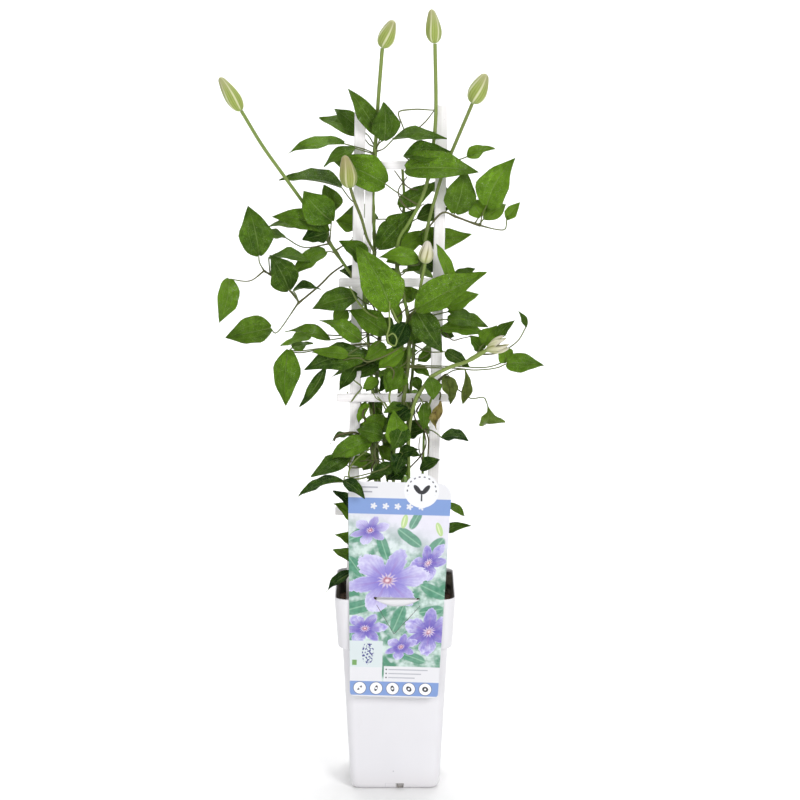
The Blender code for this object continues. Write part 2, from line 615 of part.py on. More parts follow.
def card_outline():
    """The card's edge, counter-clockwise from its lower left corner."""
    corner = CARD_CORNER
    big = CARD_BIG_CORNER
    left = CARD_CENTRE - CARD_FOOT_HALF
    right = CARD_CENTRE + CARD_FOOT_HALF
    top_left = CARD_CENTRE - CARD_TOP_HALF
    top_right = CARD_CENTRE + CARD_TOP_HALF
    rise = CARD_TOP - BADGE_CENTRE[1]
    start = math.degrees(math.asin(rise / BADGE_RADIUS))
    points = arc((left + corner, CARD_FOOT + corner), corner, 180, 270, 3)
    points += arc((right - corner, CARD_FOOT + corner), corner, 270, 360, 3)
    points += arc((top_right - big, CARD_TOP - big), big, 0, 90, 4)
    points += arc(BADGE_CENTRE, BADGE_RADIUS, start + 2, 180 - start, 8)
    points += arc((top_left + corner, CARD_TOP - corner), corner, 90, 180, 3)
    return points


def slot_outline():
    """The slot that the rim shows through: straight above, curved like a smile below."""
    points = [(CARD_CENTRE + SLOT_HALF, SLOT_TOP), (CARD_CENTRE - SLOT_HALF, SLOT_TOP)]
    for step in range(9):
        share = step / 4 - 1
        height = SLOT_BOTTOM + (SLOT_END - SLOT_BOTTOM) * share * share
        points.append((CARD_CENTRE + SLOT_HALF * share, height))
    return points


def build_card(parts):
    """The label card, hung in front of the rim by a tongue that goes down behind it."""
    sheet = bpy.data.curves.new("card_sheet", "CURVE")
    sheet.dimensions = "2D"
    sheet.fill_mode = "BOTH"
    sheet.extrude = CARD_THICKNESS / 2
    for outline in (card_outline(), slot_outline()):
        spline = sheet.splines.new("POLY")
        spline.points.add(len(outline) - 1)
        spline.use_cyclic_u = True
        for point, (x, z) in zip(spline.points, outline):
            point.co = (x, z, 0, 1)
    flat = add_object("card_sheet", sheet, parts)
    mesh = evaluated_mesh(flat)
    bpy.data.objects.remove(flat)
    middle = -CARD_FACE + CARD_THICKNESS / 2
    mesh.transform(Matrix.Translation((0, middle, 0)) @ Matrix.Rotation(math.pi / 2, 4, "X"))
    bm = bmesh.new()
    bm.from_mesh(mesh)
    bmesh.ops.remove_doubles(bm, verts=bm.verts, dist=0.01 * MM)
    card = add_object("label_card", mesh_of(bm, "label_card"), parts, "card")
    tongue = add_object("card_tongue", tongue_mesh(middle), parts)
    made = fuse("label_card", [card, tongue], "card", parts)
    pivot = Matrix.Translation((0, 0, POT_HEIGHT))
    turn = pivot @ Matrix.Rotation(CARD_TURN, 4, "Y") @ pivot.inverted()
    made.data.transform(turn)
    return made


def tongue_mesh(card_middle):
    """The cut tongue: it leaves the sheet above the rim and hangs down behind the rim."""
    way = [
        (card_middle, 233 * MM), (card_middle, 230.4 * MM),
        (card_middle + 1.6 * MM, 227.8 * MM), (card_middle + 3.6 * MM, 227.0 * MM),
        (card_middle + 4.6 * MM, 225.2 * MM),
    ]
    columns = 7
    bm = bmesh.new()
    rows = []
    for column in range(columns):
        share = column / (columns - 1) * 2 - 1
        x = CARD_CENTRE + TONGUE_HALF * share
        low = 219 * MM + 4 * MM * share * share
        ends = way + [(card_middle + 5.0 * MM, low)]
        rows.append([bm.verts.new((x, y, z)) for y, z in ends])
    for left, right in zip(rows, rows[1:]):
        for index in range(len(left) - 1):
            bm.faces.new((left[index], right[index], right[index + 1], left[index + 1]))
    thicken(bm, TONGUE_THICKNESS)
    return mesh_of(bm, "card_tongue")


def thicken(bm, thickness):
    """Give an open sheet an even thickness, both faces with the same triangles."""
    bmesh.ops.triangulate(bm, faces=bm.faces)
    bm.normal_update()
    for vert in bm.verts:
        vert.co -= vert.normal * (thickness / 2)
    made = bmesh.ops.extrude_face_region(bm, geom=bm.faces[:], use_keep_orig=True)
    for item in made["geom"]:
        if isinstance(item, bmesh.types.BMVert):
            item.co += item.normal * thickness


def fuse(name, pieces, colour, parts):
    """Join closed pieces that overlap into one solid."""
    body = pieces[0]
    group = bpy.data.collections.new(f"{name}_pieces")
    bpy.context.scene.collection.children.link(group)
    for piece in pieces[1:]:
        for holder in list(piece.users_collection):
            holder.objects.unlink(piece)
        group.objects.link(piece)
    union = body.modifiers.new("union", "BOOLEAN")
    union.operation = "UNION"
    union.operand_type = "COLLECTION"
    union.collection = group
    union.solver = "MANIFOLD"
    mesh = largest_shell(evaluated_mesh(body))
    for piece in pieces:
        bpy.data.objects.remove(piece)
    bpy.data.collections.remove(group)
    mesh.name = name
    return add_object(name, mesh, parts, colour)


def largest_shell(mesh):
    """The mesh without loose scraps and sealed hollows: only its largest shell."""
    bm = bmesh.new()
    bm.from_mesh(mesh)
    left = set(bm.verts)
    shells = []
    while left:
        stack = [left.pop()]
        shell = set(stack)
        while stack:
            for edge in stack.pop().link_edges:
                for vert in edge.verts:
                    if vert in left:
                        left.remove(vert)
                        shell.add(vert)
                        stack.append(vert)
        shells.append(shell)
    shells.sort(key=len)
    for shell in shells[:-1]:
        bmesh.ops.delete(bm, geom=list(shell), context="VERTS")
    bm.to_mesh(mesh)
    bm.free()
    return mesh


def sight_axes():
    """The eye, and the point, right and up directions of the front view's picture plane."""
    forward = Vector((0, math.cos(SIGHT_DROP), -math.sin(SIGHT_DROP)))
    up = Vector((0, math.sin(SIGHT_DROP), math.cos(SIGHT_DROP)))
    target = Vector((SIGHT_ACROSS, 0, SIGHT_HEIGHT))
    return target - forward * SIGHT_DISTANCE, target, up


def seen(place):
    """The point in space of a place read in the front view."""
    across, height, out = (value * MM for value in place)
    eye, target, up = sight_axes()
    picture = target + up * (height - SIGHT_HEIGHT)
    picture.x = across
    ray = picture - eye
    return eye + ray * ((-out - eye.y) / ray.y)


def front(point):
    """The place in the front view of a point in space."""
    eye, target, up = sight_axes()
    forward = (target - eye).normalized()
    ray = point - eye
    hit = eye + ray * (SIGHT_DISTANCE / ray.dot(forward))
    height = SIGHT_HEIGHT + (hit - target).dot(up)
    return Vector((hit.x / MM, height / MM, -point.y / MM))


def smooth(places, step):
    """Places along a smooth curve through the given ones, about one step apart."""
    points = [Vector(place) for place in places]
    ends = [points[0] * 2 - points[1]] + points + [points[-1] * 2 - points[-2]]
    route = []
    for before, start, end, after in zip(ends, ends[1:], ends[2:], ends[3:]):
        count = max(1, round((end - start).length * MM / step))
        for index in range(count):
            share = index / count
            leave = (end - before) / 2
            arrive = (after - start) / 2
            square = share * share
            cube = square * share
            place = start * (2 * cube - 3 * square + 1) + leave * (cube - 2 * square + share)
            place += end * (3 * square - 2 * cube) + arrive * (cube - square)
            route.append(place)
    route.append(points[-1])
    return route


def tube(name, points, radii, resolution, collection):
    """A closed tube along points, its radius changing evenly from one end to the other."""
    line = bpy.data.curves.new(name, "CURVE")
    line.dimensions = "3D"
    line.bevel_depth = 1
    line.bevel_resolution = resolution
    line.use_fill_caps = True
    spline = line.splines.new("POLY")
    spline.points.add(len(points) - 1)
    for index, (slot, point) in enumerate(zip(spline.points, points)):
        share = index / (len(points) - 1)
        slot.co = (*point, 1)
        slot.radius = radii[0] + (radii[1] - radii[0]) * share
    guide = add_object(name, line, collection)
    mesh = evaluated_mesh(guide)
    bpy.data.objects.remove(guide)
    bm = bmesh.new()
    bm.from_mesh(mesh)
    bmesh.ops.remove_doubles(bm, verts=bm.verts, dist=0.001 * MM)
    bmesh.ops.triangulate(bm, faces=bm.faces)
    return add_object(name, mesh_of(bm, name), collection)


def blade_share(along):
    """Half the blade's width at a share of its length: ovate, with a drawn-out tip."""
    return 1.1 * math.sin(math.pi * along ** 0.65) ** 0.75 * (1 - 0.3 * along)


def blade_face(base, tip, roll):
    """The direction that the blade's upper face looks in."""
    eye = sight_axes()[0]
    axis = (tip - base).normalized()
    to_eye = (eye - (base + tip) / 2).normalized()
    face = (to_eye - axis * to_eye.dot(axis)).normalized()
    side = axis.cross(face)
    lift = side if side.z + 0.2 * side.x > 0 else -side
    return (face * math.cos(math.radians(roll)) + lift * math.sin(math.radians(roll))).normalized()


def blade_rings(leaf, index):
    """Rings of six points across a blade: left, middle and right above, then back below."""
    base, tip = seen(leaf.base), seen(leaf.tip)
    axis = tip - base
    face = blade_face(base, tip, leaf.roll)
    side = axis.normalized().cross(face)
    width = leaf.width * MM
    skin = face * (BLADE_THICKNESS / 2)
    rings = []
    for along in LARGE_ROWS if width >= LARGE_BLADE else SMALL_ROWS:
        half = width / 2 * blade_share(along)
        middle = base + axis * along + face * (leaf.bow * axis.length * 4 * along * (1 - along))
        row = []
        for edge in (-1, 0, 1):
            wave = BLADE_RIPPLE * math.sin(9 * along + 2.4 * index + 1.7 * edge)
            row.append(middle + side * (edge * half) + face * abs(edge) * (BLADE_FOLD * half + wave))
        rings.append([point + skin for point in row] + [point - skin for point in reversed(row)])
    return rings


def stalk_rings(points, axis, face):
    """Rings of three points along a stalk; the last one is turned as the blade is."""
    rings = []
    up = face
    for index in reversed(range(len(points))):
        here = points[index]
        before = points[index - 1] if index else here
        after = points[index + 1] if index + 1 < len(points) else here + axis
        way = ((after - here).normalized() + (here - before).normalized()).normalized()
        up = (up - way * up.dot(way)).normalized()
        side = way.cross(up)
        corners = (up, -0.87 * side - 0.5 * up, 0.87 * side - 0.5 * up)
        rings.append([here + corner * STALK_RADIUS for corner in corners])
    return list(reversed(rings))


def strip(bm, low, high, pairs):
    """Two triangles for each pair of corners between two rings."""
    for first, second in pairs:
        bm.faces.new((low[first], low[second], high[second]))
        bm.faces.new((low[first], high[second], high[first]))


def build_leaf(name, leaf, index, stalk, collection):
    """A leaf in one closed skin: its stalk, then a thin blade, folded, arched and waved."""
    base, tip = seen(leaf.base), seen(leaf.tip)
    face = blade_face(base, tip, leaf.roll)
    bm = bmesh.new()
    stem = [[bm.verts.new(point) for point in ring] for ring in stalk_rings(stalk, tip - base, face)]
    blade = [[bm.verts.new(point) for point in ring] for ring in blade_rings(leaf, index)]
    bm.faces.new(stem[0])
    for low, high in zip(stem, stem[1:]):
        strip(bm, low, high, ((0, 1), (1, 2), (2, 0)))
    above, left, right = stem[-1]
    first = blade[0]
    fans = ((above, first[0:3]), (right, first[2:5]), (left, first[4:6] + first[0:1]))
    for corner, row in fans:
        for near, far in zip(row, row[1:]):
            bm.faces.new((corner, near, far))
    bm.faces.new((above, right, first[2]))
    bm.faces.new((right, left, first[4]))
    bm.faces.new((left, above, first[0]))
    for low, high in zip(blade, blade[1:]):
        strip(bm, low, high, ((0, 1), (1, 2), (5, 4), (4, 3), (2, 3), (5, 0)))
    skin = face * (BLADE_THICKNESS / 2)
    ends = (bm.verts.new(tip + skin), bm.verts.new(tip - skin))
    last = blade[-1]
    for side, end in ((last[0:3], ends[0]), (last[3:6], ends[1])):
        bm.faces.new((side[0], side[1], end))
        bm.faces.new((side[1], side[2], end))
    for high, low in ((last[2], last[3]), (last[0], last[5])):
        bm.faces.new((high, low, ends[1]))
        bm.faces.new((high, ends[1], ends[0]))
    return add_object(name, mesh_of(bm, name), collection)


def branch_routes(vine):
    """The route of each branch of a vine, as places of the front view."""
    routes = {}
    for branch in vine.branches:
        places = [Vector(place) for place in branch.places]
        if branch.parent:
            places.insert(0, nearest(routes[branch.parent], branch.start))
        else:
            x, y = (value * MM for value in vine.root)
            low = front(Vector((x, y, SOIL_TOP - ROOT_DEPTH)))
            high = front(Vector((x, y, SOIL_TOP + 14 * MM)))
            places = [low, high] + places
        routes[branch.name] = smooth(places, STEM_STEP)
    return routes


def nearest(route, height):
    """The place of a route that is nearest to a height of the front view."""
    stretches = reversed(range(len(route) - 1))
    best = min(stretches, key=lambda index: gap_to(route, index, height))
    low, high = route[best], route[best + 1]
    rise = high.y - low.y
    share = 0 if abs(rise) < 0.01 else min(1, max(0, (height - low.y) / rise))
    return low.lerp(high, share)


def gap_to(route, index, height):
    """How far a height lies outside one stretch of a route."""
    low, high = sorted((route[index].y, route[index + 1].y))
    return max(low - height, height - high, 0)


def stalk_route(leaf, index, routes):
    """The way of a leaf's stalk from the middle of its branch to the foot of the blade."""
    foot = nearest(routes[leaf.branch], leaf.start)
    base = Vector(leaf.base)
    via = [Vector(place) for place in leaf.via]
    if not via:
        reach = (base - foot).length
        bend = 0.12 * reach * (1 if index % 2 else -1)
        via = [foot.lerp(base, 0.5) + Vector((0, bend, 0.1 * reach))]
    return [seen(place) for place in smooth([foot, *via, base], STALK_STEP)]


def vine_pieces(vine, collection):
    """The stems and leaves of one vine, each a closed solid of its own."""
    routes = branch_routes(vine)
    pieces = []
    for branch in vine.branches:
        points = [seen(place) for place in routes[branch.name]]
        radii = [radius * MM for radius in branch.radii]
        resolution = 1 if branch.radii[0] > 1 else 0
        pieces.append(tube(branch.name, points, radii, resolution, collection))
    for index, leaf in enumerate(leaves_of(vine)):
        stalk = stalk_route(leaf, index, routes)
        pieces.append(build_leaf(f"{vine.name}_leaf_{index}", leaf, index, stalk, collection))
    return pieces


def leaves_of(vine):
    """The leaves drawn by hand, and for the vine at the back those that fan out by rule."""
    if vine is not BACK_VINE:
        return list(vine.leaves)
    return list(vine.leaves) + back_leaves()


def back_leaves():
    """Leaves that fan out behind the trellis, in turns up the stem, each facing up and back."""
    route = branch_routes(BACK_VINE)["back_stem"]
    leaves = []
    for index in range(BACK_LEAVES):
        height = 305 + 29 * index
        start = nearest(route, height)
        swing = math.radians(70 * math.sin(2.1 * index + 0.6))
        across = math.sin(swing)
        back = -math.cos(swing)
        stalk = 20 + 9 * math.sin(1.3 * index)
        length = 50 + 9 * math.sin(2.7 * index + 1)
        base = start + Vector((across * stalk, 9, back * stalk))
        tip = base + Vector((across * length, -6 - 10 * math.sin(index), back * length * 0.8))
        width = 24 + 6 * math.sin(1.9 * index)
        leaves.append(Leaf("back_stem", height, tuple(base), tuple(tip), width, 120, 0.1))
    return leaves


def build_bud(bud, routes, parts):
    """A ribbed, pointed bud, seated on the end of its branch."""
    route = [seen(place) for place in routes[bud.branch][-2:]]
    end = route[-1]
    tip = seen(bud.tip)
    axis = (tip - end).normalized()
    base = end + axis * bud_seat(route, axis)
    length = (tip - base).length
    frame = axis.to_track_quat("Z", "Y").to_matrix()
    rings = []
    for along in (0.0, 0.12, 0.36, 0.62, 0.84, 1.0):
        ring = []
        radius = bud_radius(bud, along)
        for side in range(BUD_SIDES):
            angle = 2 * math.pi * side / BUD_SIDES
            rib = 1 - BUD_RIB * (side % 2)
            spread = Vector((math.cos(angle), math.sin(angle), 0)) * (radius * rib)
            ring.append(base + axis * (length * along) + frame @ spread)
        rings.append(ring)
    return add_object(bud.name, mesh_of(loft(rings), bud.name), parts, "bud")


def bud_seat(route, axis):
    """How far a bud stands off the middle of its branch's end, to lie just clear of it."""
    lean = (route[1] - route[0]).normalized().angle(axis)
    return GAP + 1.6 * MM * math.sin(lean) + 0.1 * MM


def bud_radius(bud, along):
    """A bud's radius at a share of its length, from a small seat to a point."""
    full = math.sin(math.pi * (0.1 + 0.9 * along) ** 0.8) ** 0.9 * (1 - along) ** 0.12
    blunt = bud.blunt * 0.5 * along ** 3
    return bud.width * MM / 2 * max(0.06, full + blunt)


def cut_soil(soil, cutters):
    """Plain holes in the soil for the rails and the stems."""
    for name in RAIL_PLACES:
        hole = add_object(f"hole_{name}", rail_mesh(name, GAP), cutters)
        place_rail(name, hole)
        cut(soil, hole)
    for vine in VINES:
        place = [value * MM for value in vine.root]
        low = SOIL_TOP - ROOT_DEPTH - 2 * GAP
        name = f"hole_{vine.name}"
        cut(soil, post(name, STEM_HOLE_RADIUS, low, SOIL_TOP + 8 * MM, place, cutters))


def main():
    """Build every piece and hang them all on one empty."""
    clear_scene()
    parts = bpy.data.collections.new(OBJECT_NAME)
    cutters = bpy.data.collections.new("cutters")
    bpy.context.scene.collection.children.link(parts)
    bpy.context.scene.collection.children.link(cutters)
    build_pot(parts, cutters)
    soil = build_soil(parts)
    build_trellis(parts)
    cut_soil(soil, cutters)
    build_card(parts)
    for vine in VINES:
        fuse(vine.name, vine_pieces(vine, parts), "leafy_stem", parts)
        routes = branch_routes(vine)
        for bud in vine.buds:
            build_bud(bud, routes, parts)
    dry = build_leaf("dry_leaf", DRY_LEAF, 3, [seen(DRY_LEAF.base)], parts)
    dry.data.materials.append(material("dry_leaf"))
    holder = bpy.data.objects.new(OBJECT_NAME, None)
    parts.objects.link(holder)
    for piece in parts.objects:
        if piece is not holder:
            piece.parent = holder


if __name__ == "__main__":
    main()
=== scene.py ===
# %% [markdown]
# # A clematis on its ladder
#
# This lesson dresses a potted climber. The CAD model already gives every stem, leaf and bud a
# plain solid at its true size and place. Here those solids get what the eye looks for: thin
# blades with veins, ribbed buds, painted wood, a printed card, damp soil. The model is loaded
# first. The finished plant has to stay inside it.

# %% The imported model
import json
import math
import random
from collections import namedtuple

import bpy
from mathutils import Matrix, Vector, noise

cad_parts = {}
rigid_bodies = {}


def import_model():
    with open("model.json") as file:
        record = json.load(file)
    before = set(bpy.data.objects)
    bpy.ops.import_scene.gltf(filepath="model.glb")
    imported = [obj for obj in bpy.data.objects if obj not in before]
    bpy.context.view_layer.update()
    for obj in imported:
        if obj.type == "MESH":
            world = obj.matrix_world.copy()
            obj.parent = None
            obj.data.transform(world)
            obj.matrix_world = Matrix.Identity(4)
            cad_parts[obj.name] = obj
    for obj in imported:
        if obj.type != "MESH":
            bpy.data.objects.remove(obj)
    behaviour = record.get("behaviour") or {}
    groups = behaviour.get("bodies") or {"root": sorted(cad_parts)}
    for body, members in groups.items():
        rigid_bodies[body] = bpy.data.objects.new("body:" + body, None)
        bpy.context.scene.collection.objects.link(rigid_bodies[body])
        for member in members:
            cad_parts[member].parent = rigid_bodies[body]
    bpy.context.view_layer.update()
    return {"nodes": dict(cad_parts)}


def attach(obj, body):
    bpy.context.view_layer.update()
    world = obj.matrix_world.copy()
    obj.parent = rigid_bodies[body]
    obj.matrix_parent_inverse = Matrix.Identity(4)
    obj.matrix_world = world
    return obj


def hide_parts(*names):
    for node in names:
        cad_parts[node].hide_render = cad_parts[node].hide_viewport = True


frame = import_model()

# %% [markdown]
# The plant was drawn from one picture, so places on it are read as they are seen: how far right
# of the axis, how high above the ground, and how far out in front of the ladder's middle, in
# millimetres. An eye that looks a little down on the plant turns such a reading into a point in
# space. The same eye later becomes the camera, so what was read from a spot lands on that spot.

# %% The eye that the plant was read through
MM = 0.001
SIGHT_DISTANCE = 2.95
SIGHT_DROP = math.radians(12)
SIGHT_HEIGHT = 0.434
SIGHT_ACROSS = 0.0055
FORWARD = Vector((0, math.cos(SIGHT_DROP), -math.sin(SIGHT_DROP)))
UPWARD = Vector((0, math.sin(SIGHT_DROP), math.cos(SIGHT_DROP)))
TARGET = Vector((SIGHT_ACROSS, 0, SIGHT_HEIGHT))
EYE = TARGET - FORWARD * SIGHT_DISTANCE


def seen(place):
    """The point in space of a place read in the front view."""
    across, height, out = (value * MM for value in place)
    picture = TARGET + UPWARD * (height - SIGHT_HEIGHT)
    picture.x = across
    ray = picture - EYE
    return EYE + ray * ((-out - EYE.y) / ray.y)


def front(point):
    """The place in the front view of a point in space."""
    ray = point - EYE
    hit = EYE + ray * (SIGHT_DISTANCE / ray.dot(FORWARD))
    height = SIGHT_HEIGHT + (hit - TARGET).dot(UPWARD)
    return Vector((hit.x / MM, height / MM, -point.y / MM))


print("eye at", [round(value, 3) for value in EYE])

# %% [markdown]
# A finish is a small program of nodes. Writing every node by hand hides the idea behind the
# wiring, so a wire is wrapped in a class that knows plus, minus, times and power. A line such as
# `1 - vein * 0.3` then adds the nodes it needs by itself. Colours never go through these number
# nodes, because a number node would turn them grey: they are mixed.

# %% A wire that can be reckoned with
class Wire:
    """An output socket of a finish, used like a number."""

    def __init__(self, finish, socket):
        self.finish = finish
        self.socket = socket

    def maths(self, operation, *values):
        """One Math node on this wire and further values."""
        return self.finish.node(
            "ShaderNodeMath", {"operation": operation}, dict(enumerate((self, *values))))

    def __add__(self, other):
        return self.maths("ADD", other)

    def __sub__(self, other):
        return self.maths("SUBTRACT", other)

    def __mul__(self, other):
        return self.maths("MULTIPLY", other)

    def __truediv__(self, other):
        return self.maths("DIVIDE", other)

    def __pow__(self, other):
        return self.maths("POWER", other)

    def __rsub__(self, other):
        return self.finish.node(
            "ShaderNodeMath", {"operation": "SUBTRACT"}, {0: other, 1: self})

    def __abs__(self):
        return self.maths("ABSOLUTE")

    __radd__ = __add__
    __rmul__ = __mul__

    def siblings(self):
        """All the outputs of this wire's node."""
        return [Wire(self.finish, socket) for socket in self.socket.node.outputs]

    def fade(self, low, high):
        """0 below low, 1 above high, and a soft step between them."""
        settings = {"interpolation_type": "SMOOTHSTEP"}
        return self.finish.node("ShaderNodeMapRange", settings, {0: self, 1: low, 2: high})


# %% A finish and its nodes
def paint(red, green, blue):
    """A colour given in display values from 0 to 255, as the renderer's linear light."""
    shares = [value / 255 for value in (red, green, blue)]
    light = [s / 12.92 if s <= 0.04045 else ((s + 0.055) / 1.055) ** 2.4 for s in shares]
    return (*light, 1)


class Finish:
    """A material, and one short word for each kind of node that it is made from."""

    def __init__(self, name, roughness=0.5):
        self.made = bpy.data.materials.new(name)
        self.made.use_nodes = True
        self.nodes = self.made.node_tree.nodes
        self.links = self.made.node_tree.links
        self.shader = self.nodes["Principled BSDF"]
        self.shader.inputs["Roughness"].default_value = roughness

    def node(self, kind, settings=None, values=None, out=0):
        """A node: its settings first, then the values or wires of its sockets."""
        made = self.nodes.new(kind)
        for name, value in (settings or {}).items():
            setattr(made, name, value)
        for key, value in (values or {}).items():
            self.feed(made.inputs[key], value)
        return Wire(self, made.outputs[out])

    def feed(self, socket, value):
        """Link a wire to a socket, or write a constant in it."""
        if isinstance(value, Wire):
            self.links.new(value.socket, socket)
        else:
            socket.default_value = value

    def mix(self, share, first, second):
        """A colour between two others."""
        settings = {"data_type": "RGBA"}
        return self.node("ShaderNodeMix", settings, {0: share, 6: first, 7: second}, 2)

    def place(self, stretch=(1, 1, 1)):
        """The point on the object in metres, multiplied along its axes."""
        point = self.node("ShaderNodeTexCoord", out=3)
        return self.node("ShaderNodeMapping", {}, {0: point, 3: stretch})

    def noise(self, place, scale, detail=3.0, roughness=0.55):
        """Cloudy variation from 0 to 1."""
        values = {"Vector": place, "Scale": scale, "Detail": detail, "Roughness": roughness}
        return self.node("ShaderNodeTexNoise", {}, values)

    def parts(self, vector):
        """The three numbers of a vector."""
        return self.node("ShaderNodeSeparateXYZ", {}, {0: vector}).siblings()

    def look(self):
        """The four shares that the mesh carries in its attribute named look."""
        carried = self.node("ShaderNodeAttribute", {"attribute_name": "look"})
        colour, _, _, alpha = carried.siblings()
        return [*self.node("ShaderNodeSeparateColor", {}, {0: colour}).siblings(), alpha]

    def bump(self, height, distance, strength):
        """Small relief from a height between 0 and 1; the distance is in metres."""
        values = {"Strength": strength, "Distance": distance, "Height": height}
        self.feed(self.shader.inputs["Normal"], self.node("ShaderNodeBump", {}, values))

    def coat(self, **sockets):
        """Feed sockets of the surface shader by their names."""
        for name, value in sockets.items():
            self.feed(self.shader.inputs[name.replace("_", " ").title()], value)


print("a first finish:", Finish("trial").made.name)
bpy.data.materials.remove(bpy.data.materials["trial"])

# %% [markdown]
# The ladder is sawn softwood under white paint. Paint keeps a faint trace of the grain that runs
# along each bar, gathers a little grime, and is never quite one white. The grain comes from noise
# that is stretched along the bar, so rails and rungs need the same recipe with another direction.

# %% White painted wood
def painted_wood(name, stretch):
    """Thin white paint over straight grain."""
    wood = Finish(name)
    grain = wood.noise(wood.place(stretch), 1.0, 5.0, 0.6)
    cloud = wood.noise(wood.place(), 55.0)
    speck = wood.noise(wood.place(), 420.0, 2.0).fade(0.70, 0.76)
    white = wood.mix(grain.fade(0.3, 0.7), paint(244, 240, 242), paint(254, 252, 253))
    worn = wood.mix(cloud.fade(0.56, 0.8) * 0.4, white, paint(230, 220, 214))
    colour = wood.mix(speck * 0.45, worn, paint(150, 130, 112))
    wood.coat(base_color=colour, roughness=0.42 + grain * 0.2)
    wood.bump(grain * 0.8 + cloud * 0.2, 0.0003, 0.5)
    return wood.made


upright_paint = painted_wood("painted_wood_upright", (520, 520, 16))
level_paint = painted_wood("painted_wood_level", (16, 520, 520))
for node_name, piece in frame["nodes"].items():
    if node_name.startswith("trellis"):
        paint_used = level_paint if "rung" in node_name else upright_paint
        piece.data.materials.clear()
        piece.data.materials.append(paint_used)
print("painted:", [name for name in frame["nodes"] if name.startswith("trellis")])

# %% [markdown]
# The pot is moulded in two skins: milky white outside, black inside. The white is smooth but not
# a mirror, with a faint bluish cast and a few rubbed spots. Inside, splashes of soil have dried on
# the black. One finish serves both, with the share of black carried by the mesh itself.

# %% Pot plastic
def pot_plastic():
    """White satin plastic with a black inner skin."""
    pot = Finish("pot_plastic")
    black = pot.look()[0]
    cloud = pot.noise(pot.place(), 14.0, 2.0)
    fine = pot.noise(pot.place(), 900.0, 2.0)
    across, depth, height = pot.parts(pot.place())
    rub = pot.noise(pot.place((90, 90, 30)), 1.0, 4.0).fade(0.62, 0.8)
    white = pot.mix(cloud, paint(224, 223, 227), paint(233, 232, 236))
    rubbed = pot.mix(rub * 0.2, white, paint(218, 215, 218))
    dirty = pot.mix((1 - height.fade(0.0, 0.03)) * 0.25 * cloud, rubbed, paint(205, 196, 188))
    # The outlined panel on the foot is not modelled: its outline is a thin grey line of painted
    # shade, as a shallow groove would show. A grey dot marks the moulding's gate.
    panel = (abs(across + 0.0045) - 0.0065).maths("MAXIMUM", height - 0.0076)
    outline_shade = (1 - abs(panel).fade(0.0001, 0.0004)) * (1 - depth.fade(-0.042, -0.04))
    values = {0: pot.place(), 1: (-0.002, -0.0504, 0.022)}
    gate = pot.node("ShaderNodeVectorMath", {"operation": "DISTANCE"}, values, 1)
    outline_shade_and_gate_dot = (outline_shade * 0.35).maths("MAXIMUM", (1 - gate.fade(0.0005, 0.0011)) * 0.5)
    foot = pot.mix(outline_shade_and_gate_dot, dirty, paint(150, 150, 158))
    splash = pot.noise(pot.place(), 75.0, 5.0, 0.7)
    inside = pot.mix(splash.fade(0.42, 0.6), paint(52, 50, 46), paint(122, 117, 106))
    dusty = pot.mix(splash.fade(0.6, 0.72), inside, paint(150, 142, 135))
    pot.coat(base_color=pot.mix(black, foot, dusty), roughness=0.3 + rub * 0.2 + black * 0.12)
    pot.bump(fine * 0.5 + cloud * 0.5, 0.0002, 0.35)
    return pot.made


POT_FINISH = pot_plastic()
print("made", POT_FINISH.name)

# %% [markdown]
# Potting soil is peat, bark and fibre: nearly black where it is damp, rust brown where a bit of
# bark shows. Two scales of noise give crumbs and their mottling, and strong relief keeps every
# crumb its own light and shade.

# %% Soil
def damp_soil():
    """Dark crumbs with brown bark and pale fibres."""
    soil = Finish("damp_soil", 0.95)
    crumb = soil.noise(soil.place(), 260.0, 6.0, 0.7)
    patch = soil.noise(soil.place(), 60.0)
    fibre = soil.noise(soil.place((2400, 300, 300)), 1.0, 2.0).fade(0.66, 0.72)
    dark = soil.mix(crumb.fade(0.35, 0.7), paint(26, 18, 13), paint(84, 60, 42))
    bark = soil.mix(patch.fade(0.55, 0.75) * 0.6, dark, paint(112, 70, 42))
    soil.coat(base_color=soil.mix(fibre * 0.5, bark, paint(160, 136, 104)))
    soil.bump(crumb, 0.0025, 1.0)
    return soil.made


SOIL_FINISH = damp_soil()
print("made", SOIL_FINISH.name)
